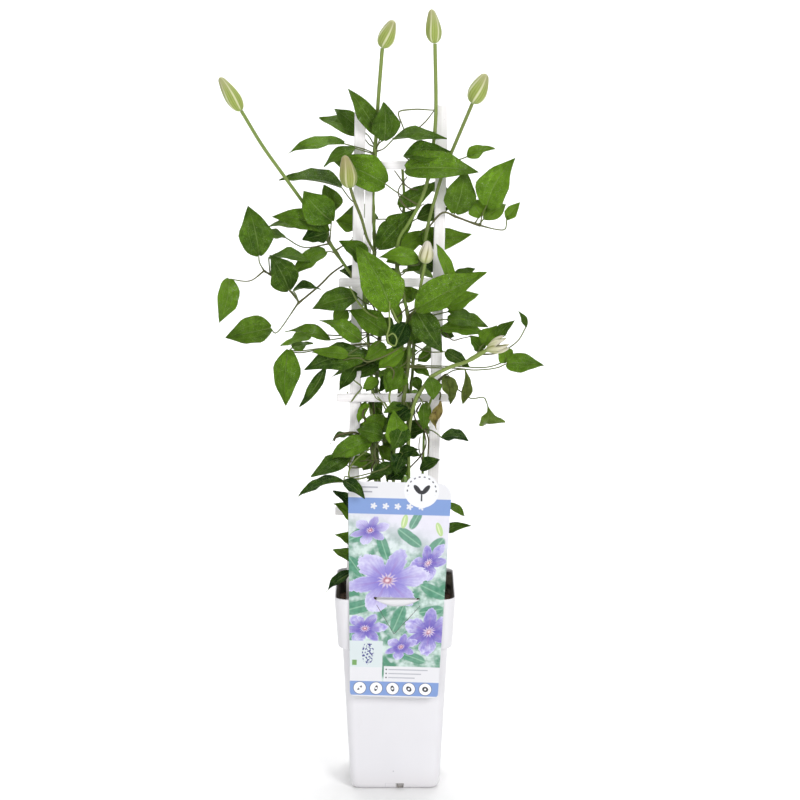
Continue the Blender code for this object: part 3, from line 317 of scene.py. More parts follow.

# %% [markdown]
# A clematis leaflet has three main veins that leave the stalk together, arch along the blade and
# meet at its tip. Each mesh blade carries how far across and how far along every point lies, so
# the veins are simply lines of constant share across, and they close up at both ends by
# themselves. A cell pattern adds the net between them, and each cell swells a little, which
# gives the quilted face; the lines of the net are darkened as painted shade, and the tops of the
# swells get a paler green as a painted highlight. The mesh also says how dark a leaf is, which
# side is its underside, how young it is, and how brown.

# %% Leaf blade
def leaf_blade():
    """Green with a soft sheen, partly a real coat and partly a painted highlight, arched veins,
    painted shade in the net and a paler underside.
    """
    leaf = Finish("leaf_blade")
    tone, under, young, brown = leaf.look()
    spread = leaf.node("ShaderNodeUVMap", {"uv_map": "across_along"})
    across, along, _ = leaf.parts(spread)
    side = abs(across * 2 - 1)
    veins = None
    for centre, width, depth in ((0.0, 0.07, 1.0), (0.42, 0.045, 0.5)):
        line = (1 - abs(side - centre).fade(width * 0.2, width)) * depth
        veins = line if veins is None else veins.maths("MAXIMUM", line)
    veins = veins * (1 - along.fade(0.65, 1.0) * 0.7)
    warp = leaf.noise(leaf.place(), 90.0, 2.0)
    net_place = leaf.node("ShaderNodeMapping", {}, {0: spread, 3: (5, 8, 1)})
    shifted = leaf.node(
        "ShaderNodeVectorMath", {"operation": "ADD"}, {0: net_place, 1: warp * 1.6})
    net = leaf.node("ShaderNodeTexVoronoi", {"feature": "DISTANCE_TO_EDGE"}, {"Vector": shifted})
    mesh = 1 - net.fade(0.0, 0.1)
    dome = net.fade(0.0, 0.5)
    cloud = leaf.noise(leaf.place(), 45.0)
    pucker = leaf.noise(leaf.place(), 150.0)
    depth = (tone * 0.95 + cloud * 0.9 + pucker * 0.6 - 0.75).maths("MINIMUM", 1.0)
    green = leaf.mix(depth.maths("MAXIMUM", 0.0), paint(26, 63, 8), paint(134, 182, 42))
    fresh = leaf.mix(young, green, paint(140, 172, 52))
    # Painted highlight: the tops of the cell swells are mixed toward a pale green.
    painted_sheen = leaf.mix((dome * pucker).fade(0.22, 0.46) * 0.55, fresh, paint(166, 194, 128))
    # Painted shade: the lines of the cell net are darkened, as the grooves between the swells
    # would be.
    net_shaded = leaf.mix(mesh * 0.28, painted_sheen, paint(34, 78, 14))
    lined = leaf.mix(veins * 0.4, net_shaded, paint(156, 186, 104))
    edge = leaf.mix(side.fade(0.93, 1.0) * 0.35, lined, paint(92, 92, 40))
    below = leaf.mix(veins * 0.5 + mesh * 0.2, paint(104, 134, 52), paint(150, 172, 96))
    both = leaf.mix(under * 0.75, edge, below)
    rot = leaf.mix(pucker.fade(0.3, 0.5), paint(96, 72, 34), paint(186, 170, 98))
    dead = leaf.mix(warp.fade(0.5, 0.7) * 0.7, rot, paint(128, 128, 50))
    limp = leaf.mix(pucker, paint(84, 96, 30), paint(158, 166, 92))
    wilted = leaf.mix(brown.fade(0.0, 0.5) * 0.6, both, limp)
    dry = leaf.mix(brown.fade(0.5, 1.0), wilted, dead)
    wax = (dome * pucker).fade(0.22, 0.5) * (1 - under)
    rough = 0.24 + cloud * 0.14 + under * 0.22
    leaf.coat(base_color=dry, roughness=rough, coat_weight=wax, coat_roughness=0.28)
    leaf.bump(0.35 - veins * 0.25 + dome * 0.45 + pucker * 0.4, 0.0032, 0.95)
    leaf.shader.inputs["Specular IOR Level"].default_value = 0.16
    return leaf.made


LEAF_FINISH = leaf_blade()
print("made", LEAF_FINISH.name)

# %% [markdown]
# The long stalks under the buds are pale olive, the older climbing stems green with a brown
# blush, and the thin twining leaf stalks purple brown. All are faintly furrowed. The share of
# each comes with the mesh, and noise stretched upward draws the furrows.

# %% Stems and stalks
def stem_skin():
    """Olive, green or purple-brown skin with fine furrows."""
    stem = Finish("stem_skin", 0.5)
    pale, brown, _, _ = stem.look()
    furrow = stem.noise(stem.place((2600, 2600, 90)), 1.0)
    blush = stem.noise(stem.place(), 38.0)
    green = stem.mix(furrow, paint(84, 112, 34), paint(122, 148, 58))
    olive = stem.mix(furrow, paint(108, 128, 56), paint(146, 164, 84))
    dark = stem.mix(blush, paint(52, 40, 32), paint(94, 82, 50))
    young = stem.mix(pale, stem.mix(blush.fade(0.5, 0.8) * 0.6, green, dark), olive)
    stem.coat(base_color=stem.mix(brown, young, dark), roughness=0.42 + furrow * 0.2)
    stem.bump(furrow, 0.0003, 0.7)
    return stem.made


STEM_FINISH = stem_skin()
print("made", STEM_FINISH.name)

# %% [markdown]
# A clematis bud is a closed cone of six sepals. The seam ridge of each sepal is creamy, the
# hollow between two is green, and the tip fades to a greyish mauve under fine down. The mesh gives
# the ridge's share across and the share along, and two further shares make a bud browner or
# creamier than its neighbours.

# %% Bud
def bud_down():
    """Yellow-green with cream ridges and a mauve-grey tip."""
    bud = Finish("bud_down", 0.6)
    brown, cream, _, _ = bud.look()
    turn, along, _ = bud.parts(bud.node("ShaderNodeUVMap", {"uv_map": "across_along"}))
    ridge = abs((turn * (3 * math.pi)).maths("COSINE"))
    vein = abs((turn * (9 * math.pi)).maths("COSINE")).fade(0.5, 1.0)
    streak = bud.noise(bud.place((900, 900, 120)), 1.0, 4.0)
    down = bud.noise(bud.place(), 1500.0, 2.0)
    green = bud.mix(streak, paint(118, 140, 42), paint(160, 174, 78))
    veined = bud.mix(vein * 0.3, green, paint(188, 198, 128))
    ridged = bud.mix(ridge.fade(0.86, 0.995) * 0.75, veined, paint(220, 222, 178))
    tipped = bud.mix(along.fade(0.45, 1.0) * 0.62, ridged, paint(174, 170, 130))
    foot = bud.mix((1 - along.fade(0.0, 0.14)) * 0.6, tipped, paint(138, 162, 62))
    browned = bud.mix(brown * (along * 0.5 + streak * 0.1), foot, paint(146, 122, 74))
    rind = bud.mix(ridge.fade(0.1, 0.6), paint(142, 138, 84), paint(212, 208, 172))
    grey = bud.mix(along.fade(0.5, 0.95) * 0.7, rind, paint(222, 214, 206))
    pale = bud.mix(along.fade(0.1, 0.4), bud.mix(0.6, grey, paint(168, 182, 96)), grey)
    bud.coat(base_color=bud.mix(cream, browned, pale), sheen_weight=0.25)
    bud.bump(down * 0.4 + streak * 0.6, 0.0004, 0.6)
    return bud.made


BUD_FINISH = bud_down()
print("made", BUD_FINISH.name)

# %% [markdown]
# The plant is written down as rows: stems with the places they pass, leaves with the foot and
# tip of each blade, and buds. A climbing clematis grows long thin stems that twine among each
# other, and holds on with its leaf stalks. No rule grows one particular plant, so its rows were
# read one by one. All the detail between those few places comes from formulas further down.

# %% The kinds of rows
# A place is (across, height, out) as seen by the eye above.
Branch = namedtuple("Branch", "name parent start radii places")
# A leaf's stalk leaves its branch at the height `start` and passes through `via`.
# `roll` turns the blade's face up from the viewer, and `bow` arches the blade.
# `wilt` is 0 for a fresh leaf and 1 for one that has gone limp and crumpled.
# `widest` is the share of the length where the blade is broadest, and `tone` goes from 0 for
# dark green to 1 for light; None leaves either to chance.
Leaf = namedtuple("Leaf", "branch start base tip width roll bow tone via wilt widest",
                  defaults=(None, (), 0.0, None))
# `apart` says how far the ends of a bud's sepals stand off each other.
Bud = namedtuple("Bud", "name branch tip width apart")
Vine = namedtuple("Vine", "name root branches leaves buds")


def leaves_on(branch, *rows):
    """Leaves of one branch, from rows that leave its name out."""
    return tuple(Leaf(branch, *row) for row in rows)


# %% The rows of the plant
LEFT_VINE = Vine(
    "vine_left", (-20, 2),
    (
        Branch("left_stem", None, 0, (1.9, 1.1), (
            (-19, 302, -2), (-23, 379, -2), (-24, 434, -1), (-29, 494, -1), (-33, 540, -7),
            (-46, 568, -14), (-58, 586, -11), (-72, 607, -4), (-88, 633, 0), (-121, 679, 6),
            (-146, 714, 9), (-169, 752, 12))),
        Branch("left_stalk", "left_stem", 583, (0.95, 0.85), (
            (-70, 573, -5), (-83, 560, 0), (-107, 540, 8))),
        Branch("left_arm", "left_stalk", 541, (0.8, 0.75), (
            (-114, 552, 6), (-128, 566, 5), (-144, 576, 8))),
    ),
    leaves_on(
        "left_arm",
        (576, (-150, 594, 12), (-162, 648, 20), 36, 0, 0.06, 0.3, ((-149, 585, 9),)),
        (576, (-182, 567, 14), (-193, 518, 20), 25, -20, 0.12, 0.7, ((-160, 565, 10),)),
    ) + leaves_on(
        "left_stalk",
        (540, (-137, 513, 22), (-187, 502, 30), 31, 15, 0.08, 0.4, ((-129, 509, 16),)),
        (541, (-117, 556, 12), (-138, 594, 18), 32, 5, 0.1, 0.12),
    ) + leaves_on(
        "left_arm",
        (572, (-139, 590, 4), (-91, 587, 0), 22, 60, 0.12),
    ) + leaves_on(
        "left_stem",
        (594, (-76, 597, -6), (-113, 571, -4), 22, 35, 0.08),
        (606, (-121, 613, -14), (-150, 616, -18), 18, 58, 0.05, None, ((-100, 602, -10),)),
    ) + leaves_on(
        "left_stalk",
        (541, (-112, 554, 18), (-81, 554, 22), 14, 55, 0.1),
    ) + leaves_on(
        "left_stem",
        (607, (-70, 631, 10), (-101, 664, 18), 36, 5, 0.06, 0.45),
        (612, (-72, 640, 2), (-78, 671, 4), 26, 10, 0.05),
        (607, (-73, 619, 4), (-135, 637, 10), 25, 25, 0.1, 0.5),
        (607, (-92, 623, -8), (-141, 626, -14), 18, 62, 0.1),
        (607, (-75, 618, 12), (-102, 610, 18), 24, 20, 0.05),
        (598, (-42, 626, -16), (-66, 631, -16), 20, 10, 0.05, None,
         ((-54, 606, -14), (-41, 616, -20))),
        (568, (-40, 574, -20), (-61, 577, -20), 14, 10, 0.05, None,
         ((-42, 563, -18), (-37, 568, -22))),
    ),
    (Bud("bud_left", "left_stem", (-193, 789, 15), 17.5, 0.0),),
)

MIDDLE_VINE = Vine(
    "vine_middle", (-12, 10),
    (
        Branch("middle_stem", None, 0, (1.9, 1.1), (
            (-14, 302, -9), (-20, 379, -9), (-21, 434, -9), (-19, 478, -9), (-16, 520, -8),
            (-20, 544, -6), (-22, 577, -2), (-23, 621, -1), (-24, 665, 0), (-19, 755, 2),
            (-14, 821, 4))),
        Branch("bud_shoot", "middle_stem", 586, (1.2, 1.1), (
            (-23, 596, 7), (-26, 603, 13), (-31, 613, 18), (-37, 634, 24), (-45, 654, 28),
            (-49, 667, 31))),
    ),
    leaves_on(
        "middle_stem",
        (709, (-16, 724, 8), (-51, 777, 16), 21, 10, 0.08, 0.3),
        (709, (-12, 720, 14), (-12, 761, 22), 30, 5, 0.05, 0.3),
        (707, (-2, 721, 10), (58, 719, 26), 22, 58, 0.08, 0.35),
        (712, (-36, 730, -14), (-67, 755, -20), 20, 10, 0.05),
        (712, (-36, 726, -18), (-84, 743, -24), 22, 25, 0.05),
        (704, (-56, 716, 14), (-118, 709, 22), 22, 55, 0.08, None, ((-31, 709, 12),)),
        (704, (-44, 711, 20), (-80, 693, 22), 18, 40, 0.05, None, ((-31, 707, 16),)),
        (645, (-59, 668, -13), (-128, 676, -4), 26, 60, 0.05, None,
         ((-31, 648, -11), (-46, 652, -13))),
        (540, (-42, 548, 20), (-92, 535, 24), 27, 25, 0.08, 0.3),
        (520, (-54, 533, 13), (-70, 514, 14), 18, 20, 0.05, None, ((-32, 527, 11),)),
        (518, (-10, 507, 14), (-50, 533, 24), 26, 10, 0.05),
        (500, (-38, 500, 28), (-82, 523, 34), 20, 20, 0.06),
        (544, (-33, 587, 20), (-62, 609, 26), 22, 20, 0.1, None,
         ((-21, 549, 12), (-25, 562, 15), (-29, 576, 18))),
        (597, (-18, 601, 9), (25, 645, 12), 28, 10, 0.05, 0.25),
        (490, (-33, 483, 22), (-100, 468, 32), 30, 15, 0.08, 0.25),
        (490, (-52, 484, 30), (-92, 486, 32), 14, 10, 0.05),
        (478, (-44, 470, 14), (-62, 444, 18), 15, 10, 0.05, None, ((-26, 476, 5), (-36, 472, 11))),
        (484, (-76, 470, 36), (-105, 426, 40), 13, 15, 0.1, None, ((-26, 483, 6), (-50, 480, 26))),
        (496, (-117, 489, 18), (-121, 428, 24), 29, 10, 0.05, 0.6,
         ((-34, 495, 10), (-80, 491, 12), (-104, 488, 15))),
        (506, (-72, 500, 20), (-121, 510, 26), 18, 40, 0.08, None, ((-38, 505, 13),)),
        (508, (-92, 507, 12), (-126, 493, 12), 18, 45, 0.05, None,
         ((-34, 508, 10), (-60, 505, 11))),
        (496, (-113, 492, 10), (-90, 496, 6), 18, 50, 0.05, None,
         ((-34, 496, 11), (-80, 490, 9), (-104, 486, 9), (-115, 488, 10))),
    ),
    (
        Bud("bud_middle", "middle_stem", (-2, 852, 6), 19.5, 0.0),
        Bud("bud_brown", "bud_shoot", (-55.5, 703, 35), 19.5, 0.0),
    ),
)

CENTRE_VINE = Vine(
    "vine_centre", (8, -18),
    (
        Branch("centre_stem", None, 0, (2.0, 1.1), (
            (9, 280, 19), (8, 354, 19), (6, 412, 19), (9, 431, 19), (15, 481, 20), (15, 520, 20),
            (8, 555, 20), (2, 586, 20), (4, 610, 21), (14, 627, 22), (26, 648, 22),
            (36, 676, 19), (42, 712, 18), (45, 755, 12), (44, 826, 8))),
        Branch("centre_shoot", "centre_stem", 520, (1.3, 1.2), (
            (21, 531, 24), (27, 554, 28), (33, 584, 31))),
    ),
    leaves_on(
        "centre_stem",
        (648, (-11, 672, 13), (-70, 700, 14), 37, 10, 0.03, 0.65, ((3, 662, 16),)),
        (680, (12, 688, 26), (93, 686, 38), 35, 30, 0.12, 0.55),
        (690, (10, 702, 20), (62, 706, 28), 26, 40, 0.08, 0.35),
        (583, (25, 588, 24), (-18, 592, 28), 21, 25, 0.1, None, ((20, 582, 23), (27, 584, 24))),
        (515, (-5, 535, 34), (-43, 606, 42), 42, 5, 0.05, 0.72, ((2, 520, 28),)),
        (522, (24, 534, 34), (103, 573, 46), 36, 25, 0.08, 0.68),
        (522, (58, 536, 26), (92, 552, 30), 20, 20, 0.05, 0.8, ((34, 530, 24),)),
        (530, (62, 562, 24), (47, 606, 28), 17, 40, 0.05, None, ((40, 545, 24),)),
        (526, (66, 565, 17), (88, 579, 18), 16, 20, 0.08, None, ((42, 550, 18),)),
        (516, (24, 530, 30), (53, 487, 38), 30, 15, 0.06, 0.15),
        (495, (20, 498, 26), (36, 532, 28), 28, 10, 0.05),
        (512, (58, 523, 18), (103, 515, 24), 20, 35, 0.1, None, ((36, 520, 19),)),
        (508, (48, 511, 22), (101, 506, 27), 20, 35, 0.08),
        (520, (58, 531, 12), (82, 529, 14), 11, 30, 0.05, None, ((36, 526, 14),)),
        (498, (56, 487, 16), (83, 470, 22), 15, 20, 0.05),
        (470, (123, 474, 30), (164, 472, 36), 21, 5, 0.06, 0.65,
         ((65, 469, 22), (87, 467, 25), (110, 469, 28))),
        (472, (123, 477, 22), (114, 495, 24), 18, 10, 0.05, None, ((65, 471, 16), (100, 470, 20))),
        (470, (6, 467, 28), (-6, 444, 32), 24, 5, 0.05),
        (400, (2, 384, 30), (-2, 424, 38), 26, 5, 0.05),
        (395, (14, 397, 20), (34, 402, 22), 18, 20, 0.05),
        (366, (2, 370, 30), (27, 379, 37), 16, 40, 0.1),
        (372, (-56, 345, 66), (-33, 325, 80), 15, 20, 0.15, None,
         ((-6, 362, 44), (-19, 356, 56), (-46, 349, 62), (-55, 350, 65))),
        (360, (-2, 364, 40), (-31, 348, 58), 16, 20, 0.05),
        (375, (8, 374, 36), (0, 350, 50), 18, 5, 0.05),
    ),
    (
        Bud("bud_centre", "centre_stem", (40, 864, 10), 17.5, 0.0),
        Bud("bud_cream", "centre_shoot", (36, 609, 33), 16.5, 0.0),
    ),
)

RIGHT_VINE = Vine(
    "vine_right", (16, 2),
    (
        Branch("right_stem", None, 0, (1.8, 1.1), (
            (15, 324, -1), (14, 390, -1), (16, 434, -1), (19, 461, -1), (21, 494, 0),
            (24, 533, 0), (28, 560, 0), (31, 593, 6), (34, 614, 10), (38, 634, 11),
            (45, 659, 12), (53, 685, 15), (62, 706, 16), (85, 760, 17))),
        Branch("right_stalk", "right_stem", 622, (0.9, 0.8), (
            (52, 640, 14), (66, 636, 15), (82, 630, 18), (94, 626, 20))),
    ),
    leaves_on(
        "right_stem",
        (700, (80, 702, 18), (110, 711, 22), 18, 40, 0.05),
    ) + leaves_on(
        "right_stalk",
        (636, (66, 640, 17), (77, 688, 23), 33, 5, 0.05, 0.42, ((64, 637, 16),)),
        (626, (101, 648, 24), (132, 700, 32), 34, 5, 0.06, 0.75, ((96, 638, 22),)),
        (628, (94, 636, 19), (80, 655, 14), 22, 20, 0.05),
        (627, (98, 634, 20), (122, 650, 20), 20, 25, 0.05),
        (626, (123, 633, 26), (138, 652, 30), 13, 20, 0.05, None,
         ((110, 622, 22), (121, 622, 24))),
    ),
    (Bud("bud_right", "right_stem", (100, 793, 19), 21.5, 0.0),),
)

FRONT_VINE = Vine(
    "vine_front", (15, -29),
    (
        Branch("front_stem", None, 0, (1.9, 1.5), (
            (14, 302, 30), (15, 346, 29), (15, 390, 28), (17, 412, 28), (22, 432, 27),
            (28, 443, 27), (40, 459, 29), (60, 470, 33), (78, 476, 38), (101, 489, 46))),
    ),
    leaves_on(
        "front_stem",
        (484, (112, 501, 39), (131, 522, 45), 13, 20, 0.08, None, ((103, 492, 34),)),
        (482, (98, 496, 32), (112, 516, 34), 20, 15, 0.05),
        (480, (97, 490, 28), (82, 505, 26), 16, 15, 0.05),
        (484, (144, 514, 40), (136, 532, 42), 7, 20, 0.05, None, ((114, 486, 34), (134, 498, 38))),
        (459, (38, 458, 35), (42, 434, 37), 18, 10, 0.08),
        (438, (31, 430, 34), (31, 401, 36), 13, 10, 0.05),
    ),
    (Bud("bud_open", "front_stem", (123, 498, 52), 18.5, 1.0),),
)

LOW_LEFT_VINE = Vine(
    "vine_low_left", (-14, -20),
    (
        Branch("low_left_stem", None, 0, (1.7, 1.0), (
            (-17, 280, 20), (-19, 324, 16), (-23, 357, 14), (-26, 385, 12), (-24, 406, 12),
            (-27, 424, 13))),
    ),
    leaves_on(
        "low_left_stem",
        (385, (-26, 390, 24), (-75, 368, 32), 24, 20, 0.1, 0.6),
        (380, (-50, 371, 26), (-93, 350, 34), 22, 25, 0.08, None, ((-36, 378, 20),)),
        (350, (-57, 344, 28), (-106, 326, 34), 20, 56, 0.12, None, ((-45, 336, 26),)),
        (396, (-46, 395, 12), (-72, 388, 16), 12, 60, 0.15),
        (320, (-40, 311, 30), (-69, 334, 36), 17, 20, 0.05),
        (312, (-38, 298, 34), (-69, 320, 40), 20, 15, 0.05),
        (290, (-42, 274, 36), (-66, 286, 40), 14, 20, 0.05),
        (280, (-44, 261, 42), (-69, 269, 46), 15, 25, 0.05),
        (270, (-48, 244, 50), (-75, 222, 60), 14, 35, 0.15),
        (400, (-13, 394, 24), (-42, 402, 30), 22, 20, 0.08, None,
         ((-18, 391, 15), (-10, 388, 20))),
        (422, (-29, 430, 17), (-40, 408, 20), 11, 20, 0.05),
        (372, (-32, 368, 18), (-50, 362, 22), 16, 25, 0.05),
    ),
    (),
)

LOW_RIGHT_VINE = Vine(
    "vine_low_right", (29, -10),
    (
        Branch("low_right_stem", None, 0, (1.6, 0.9), (
            (27, 280, 13), (29, 324, 14), (31, 368, 15), (32, 401, 16), (35, 421, 18),
            (42, 440, 21), (49, 457, 21))),
        Branch("dry_stalk", "low_right_stem", 440, (0.75, 0.7), ((50, 442, 25), (49, 434, 26))),
    ),
    leaves_on(
        "low_right_stem",
        (456, (55, 460, 26), (61, 429, 30), 17, 15, 0.1, None, (), 0.9, 0.35),
        (456, (77, 468, 26), (75, 429, 30), 12, 20, 0.05, None, ((63, 466, 22),), 1.0, 0.6),
        (452, (101, 431, 36), (101, 408, 32), 34, 10, 0.25, None,
         ((68, 446, 28), (83, 436, 32), (97, 437, 35)), 0.6, 0.78),
        (402, (52, 392, 22), (81, 390, 26), 20, 50, 0.08),
        (366, (28, 357, 22), (51, 368, 26), 15, 20, 0.05),
        (300, (52, 287, 30), (84, 296, 36), 12, 30, 0.1),
        (320, (58, 320, 30), (77, 306, 34), 10, 20, 0.15),
    ),
    (),
)

BACK_VINE = Vine(
    "vine_back", (3, 24),
    (
        Branch("back_stem", None, 0, (1.8, 0.9), (
            (2, 280, -25), (-2, 354, -25), (4, 434, -24), (8, 500, -24), (0, 560, -22),
            (6, 610, -20), (10, 650, -18), (8, 692, -18))),
    ),
    leaves_on(
        "back_stem",
        (640, (4, 648, -10), (48, 674, -13), 20, 20, 0.05),
        (605, (24, 612, -16), (85, 617, -19), 25, 5, 0.06),
        (630, (25, 634, -11), (60, 644, -15), 20, 15, 0.05),
        (596, (8, 601, -11), (40, 618, -10), 20, 20, 0.05),
    ),
    (),
)

VINES = (
    LEFT_VINE, MIDDLE_VINE, CENTRE_VINE, RIGHT_VINE, FRONT_VINE, LOW_LEFT_VINE,
    LOW_RIGHT_VINE, BACK_VINE,
)
DRY_LEAF = Leaf("dry_stalk", 434, (49, 433, 26), (46, 401, 30), 12, 15, 0.15, wilt=1.0)

# %% [markdown]
# Between the large leaves the picture shows many small ones, half hidden and turned every way,
# and thin leaf stalks that wind round stems, rungs and each other. They make the plant dense, so
# they have rows of their own.

# %% Rows of the small leaves and the twining stalks
INNER_LEAVES = {
    "vine_middle": leaves_on(
        "middle_stem",
        (502, (-11, 494, 24), (-34, 479, 28), 20, 10, 0.06),
        (486, (-13, 476, 4), (-47, 459, 2), 18, 20, 0.06),
        (482, (-25, 474, 8), (-57, 466, 6), 16, 35, 0.05),
        (465, (-19, 457, 14), (-36, 446, 18), 13, 15, 0.08),
        (440, (-32, 432, 10), (-41, 411, 14), 9, 10, 0.12),
        (425, (-12, 416, 12), (-36, 389, 16), 21, 15, 0.06),
        (391, (-16, 383, 8), (-4, 365, 12), 13, 20, 0.06),
        (369, (-8, 359, 20), (-31, 345, 24), 11, 15, 0.05),
        (390, (-47, 380, 12), (-54, 361, 16), 10, 20, 0.06),
        (528, (-36, 520, -14), (-56, 508, -16), 14, 20, 0.05),
        (495, (-30, 487, -12), (-47, 476, -14), 16, 30, 0.05),
        (570, (-32, 562, -16), (-50, 546, -18), 16, 20, 0.05),
        (615, (-8, 623, 6), (8, 639, 10), 16, 20, 0.05),
        (633, (-32, 625, -10), (-47, 612, -14), 14, 30, 0.05),
        (462, (-19, 456, 0), (-32, 443, 0), 14, 15, 0.06),
        (444, (-26, 437, -6), (-17, 413, -8), 16, 20, 0.06),
        (418, (-30, 410, 2), (-38, 392, 4), 12, 25, 0.06),
        (379, (-24, 372, -2), (-36, 356, -2), 16, 20, 0.05),
        (405, (-26, 398, 0), (-8, 404, -2), 14, 25, 0.05),
    ),
    "vine_centre": leaves_on(
        "centre_stem",
        (549, (-1, 541, 10), (6, 514, 12), 12, 15, 0.05),
        (527, (12, 518, 30), (-2, 490, 34), 24, 10, 0.06),
        (497, (9, 488, 24), (-18, 468, 26), 22, 20, 0.06),
        (499, (14, 489, 12), (3, 457, 14), 17, 15, 0.06),
        (480, (6, 471, 26), (-11, 442, 30), 23, 20, 0.05),
        (478, (20, 470, 12), (38, 460, 14), 12, 25, 0.05),
        (437, (10, 427, 26), (-13, 421, 30), 12, 30, 0.05),
        (433, (15, 424, 24), (-8, 402, 28), 23, 15, 0.06),
        (417, (10, 408, 34), (-4, 378, 38), 23, 10, 0.06),
        (389, (11, 381, 26), (29, 372, 30), 11, 20, 0.06),
        (370, (12, 361, 34), (-10, 345, 38), 18, 20, 0.05),
        (600, (8, 592, 8), (-10, 586, 10), 16, 25, 0.06),
        (571, (14, 579, 8), (32, 590, 10), 16, 20, 0.06),
        (563, (3, 557, 6), (19, 544, 8), 14, 20, 0.06),
        (466, (-3, 458, 4), (-17, 443, 4), 15, 15, 0.06),
        (460, (4, 453, 0), (15, 441, -2), 14, 20, 0.06),
        (446, (-2, 437, 2), (15, 422, 0), 17, 20, 0.06, 0.8),
        (358, (-2, 357, 30), (15, 349, 34), 16, 30, 0.05, 0.8),
        (402, (0, 396, 4), (-14, 384, 2), 16, 20, 0.06),
    ),
    "vine_right": leaves_on(
        "right_stem",
        (408, (14, 400, 10), (34, 402, 14), 18, 30, 0.05),
        (426, (35, 432, 12), (35, 400, 16), 11, 10, 0.05),
        (453, (22, 459, 8), (29, 442, 12), 12, 15, 0.08),
        (501, (51, 509, 6), (66, 504, 8), 10, 20, 0.05),
        (479, (41, 487, -8), (25, 476, -10), 14, 20, 0.05),
        (536, (28, 544, -8), (41, 553, -10), 15, 20, 0.05),
        (580, (33, 586, -6), (50, 577, -8), 16, 25, 0.05),
        (622, (29, 616, -4), (41, 603, -8), 13, 25, 0.05),
    ),
    "vine_back": leaves_on(
        "back_stem",
        (503, (-3, 511, -30), (-25, 524, -34), 20, 25, 0.05),
        (488, (6, 496, -28), (-12, 511, -32), 20, 15, 0.05),
        (448, (1, 456, -28), (-21, 465, -32), 20, 25, 0.05),
        (442, (6, 434, -28), (23, 419, -32), 18, 25, 0.05),
        (420, (-3, 412, -30), (-21, 399, -32), 18, 25, 0.05),
        (382, (1, 390, -30), (19, 401, -32), 18, 25, 0.05),
        (365, (-1, 373, -28), (-16, 383, -32), 16, 25, 0.05),
        (536, (10, 544, -28), (28, 555, -32), 18, 25, 0.05),
        (558, (1, 566, -26), (-19, 575, -30), 18, 25, 0.05),
        (470, (3, 478, -28), (25, 489, -32), 18, 25, 0.05),
    ),
}
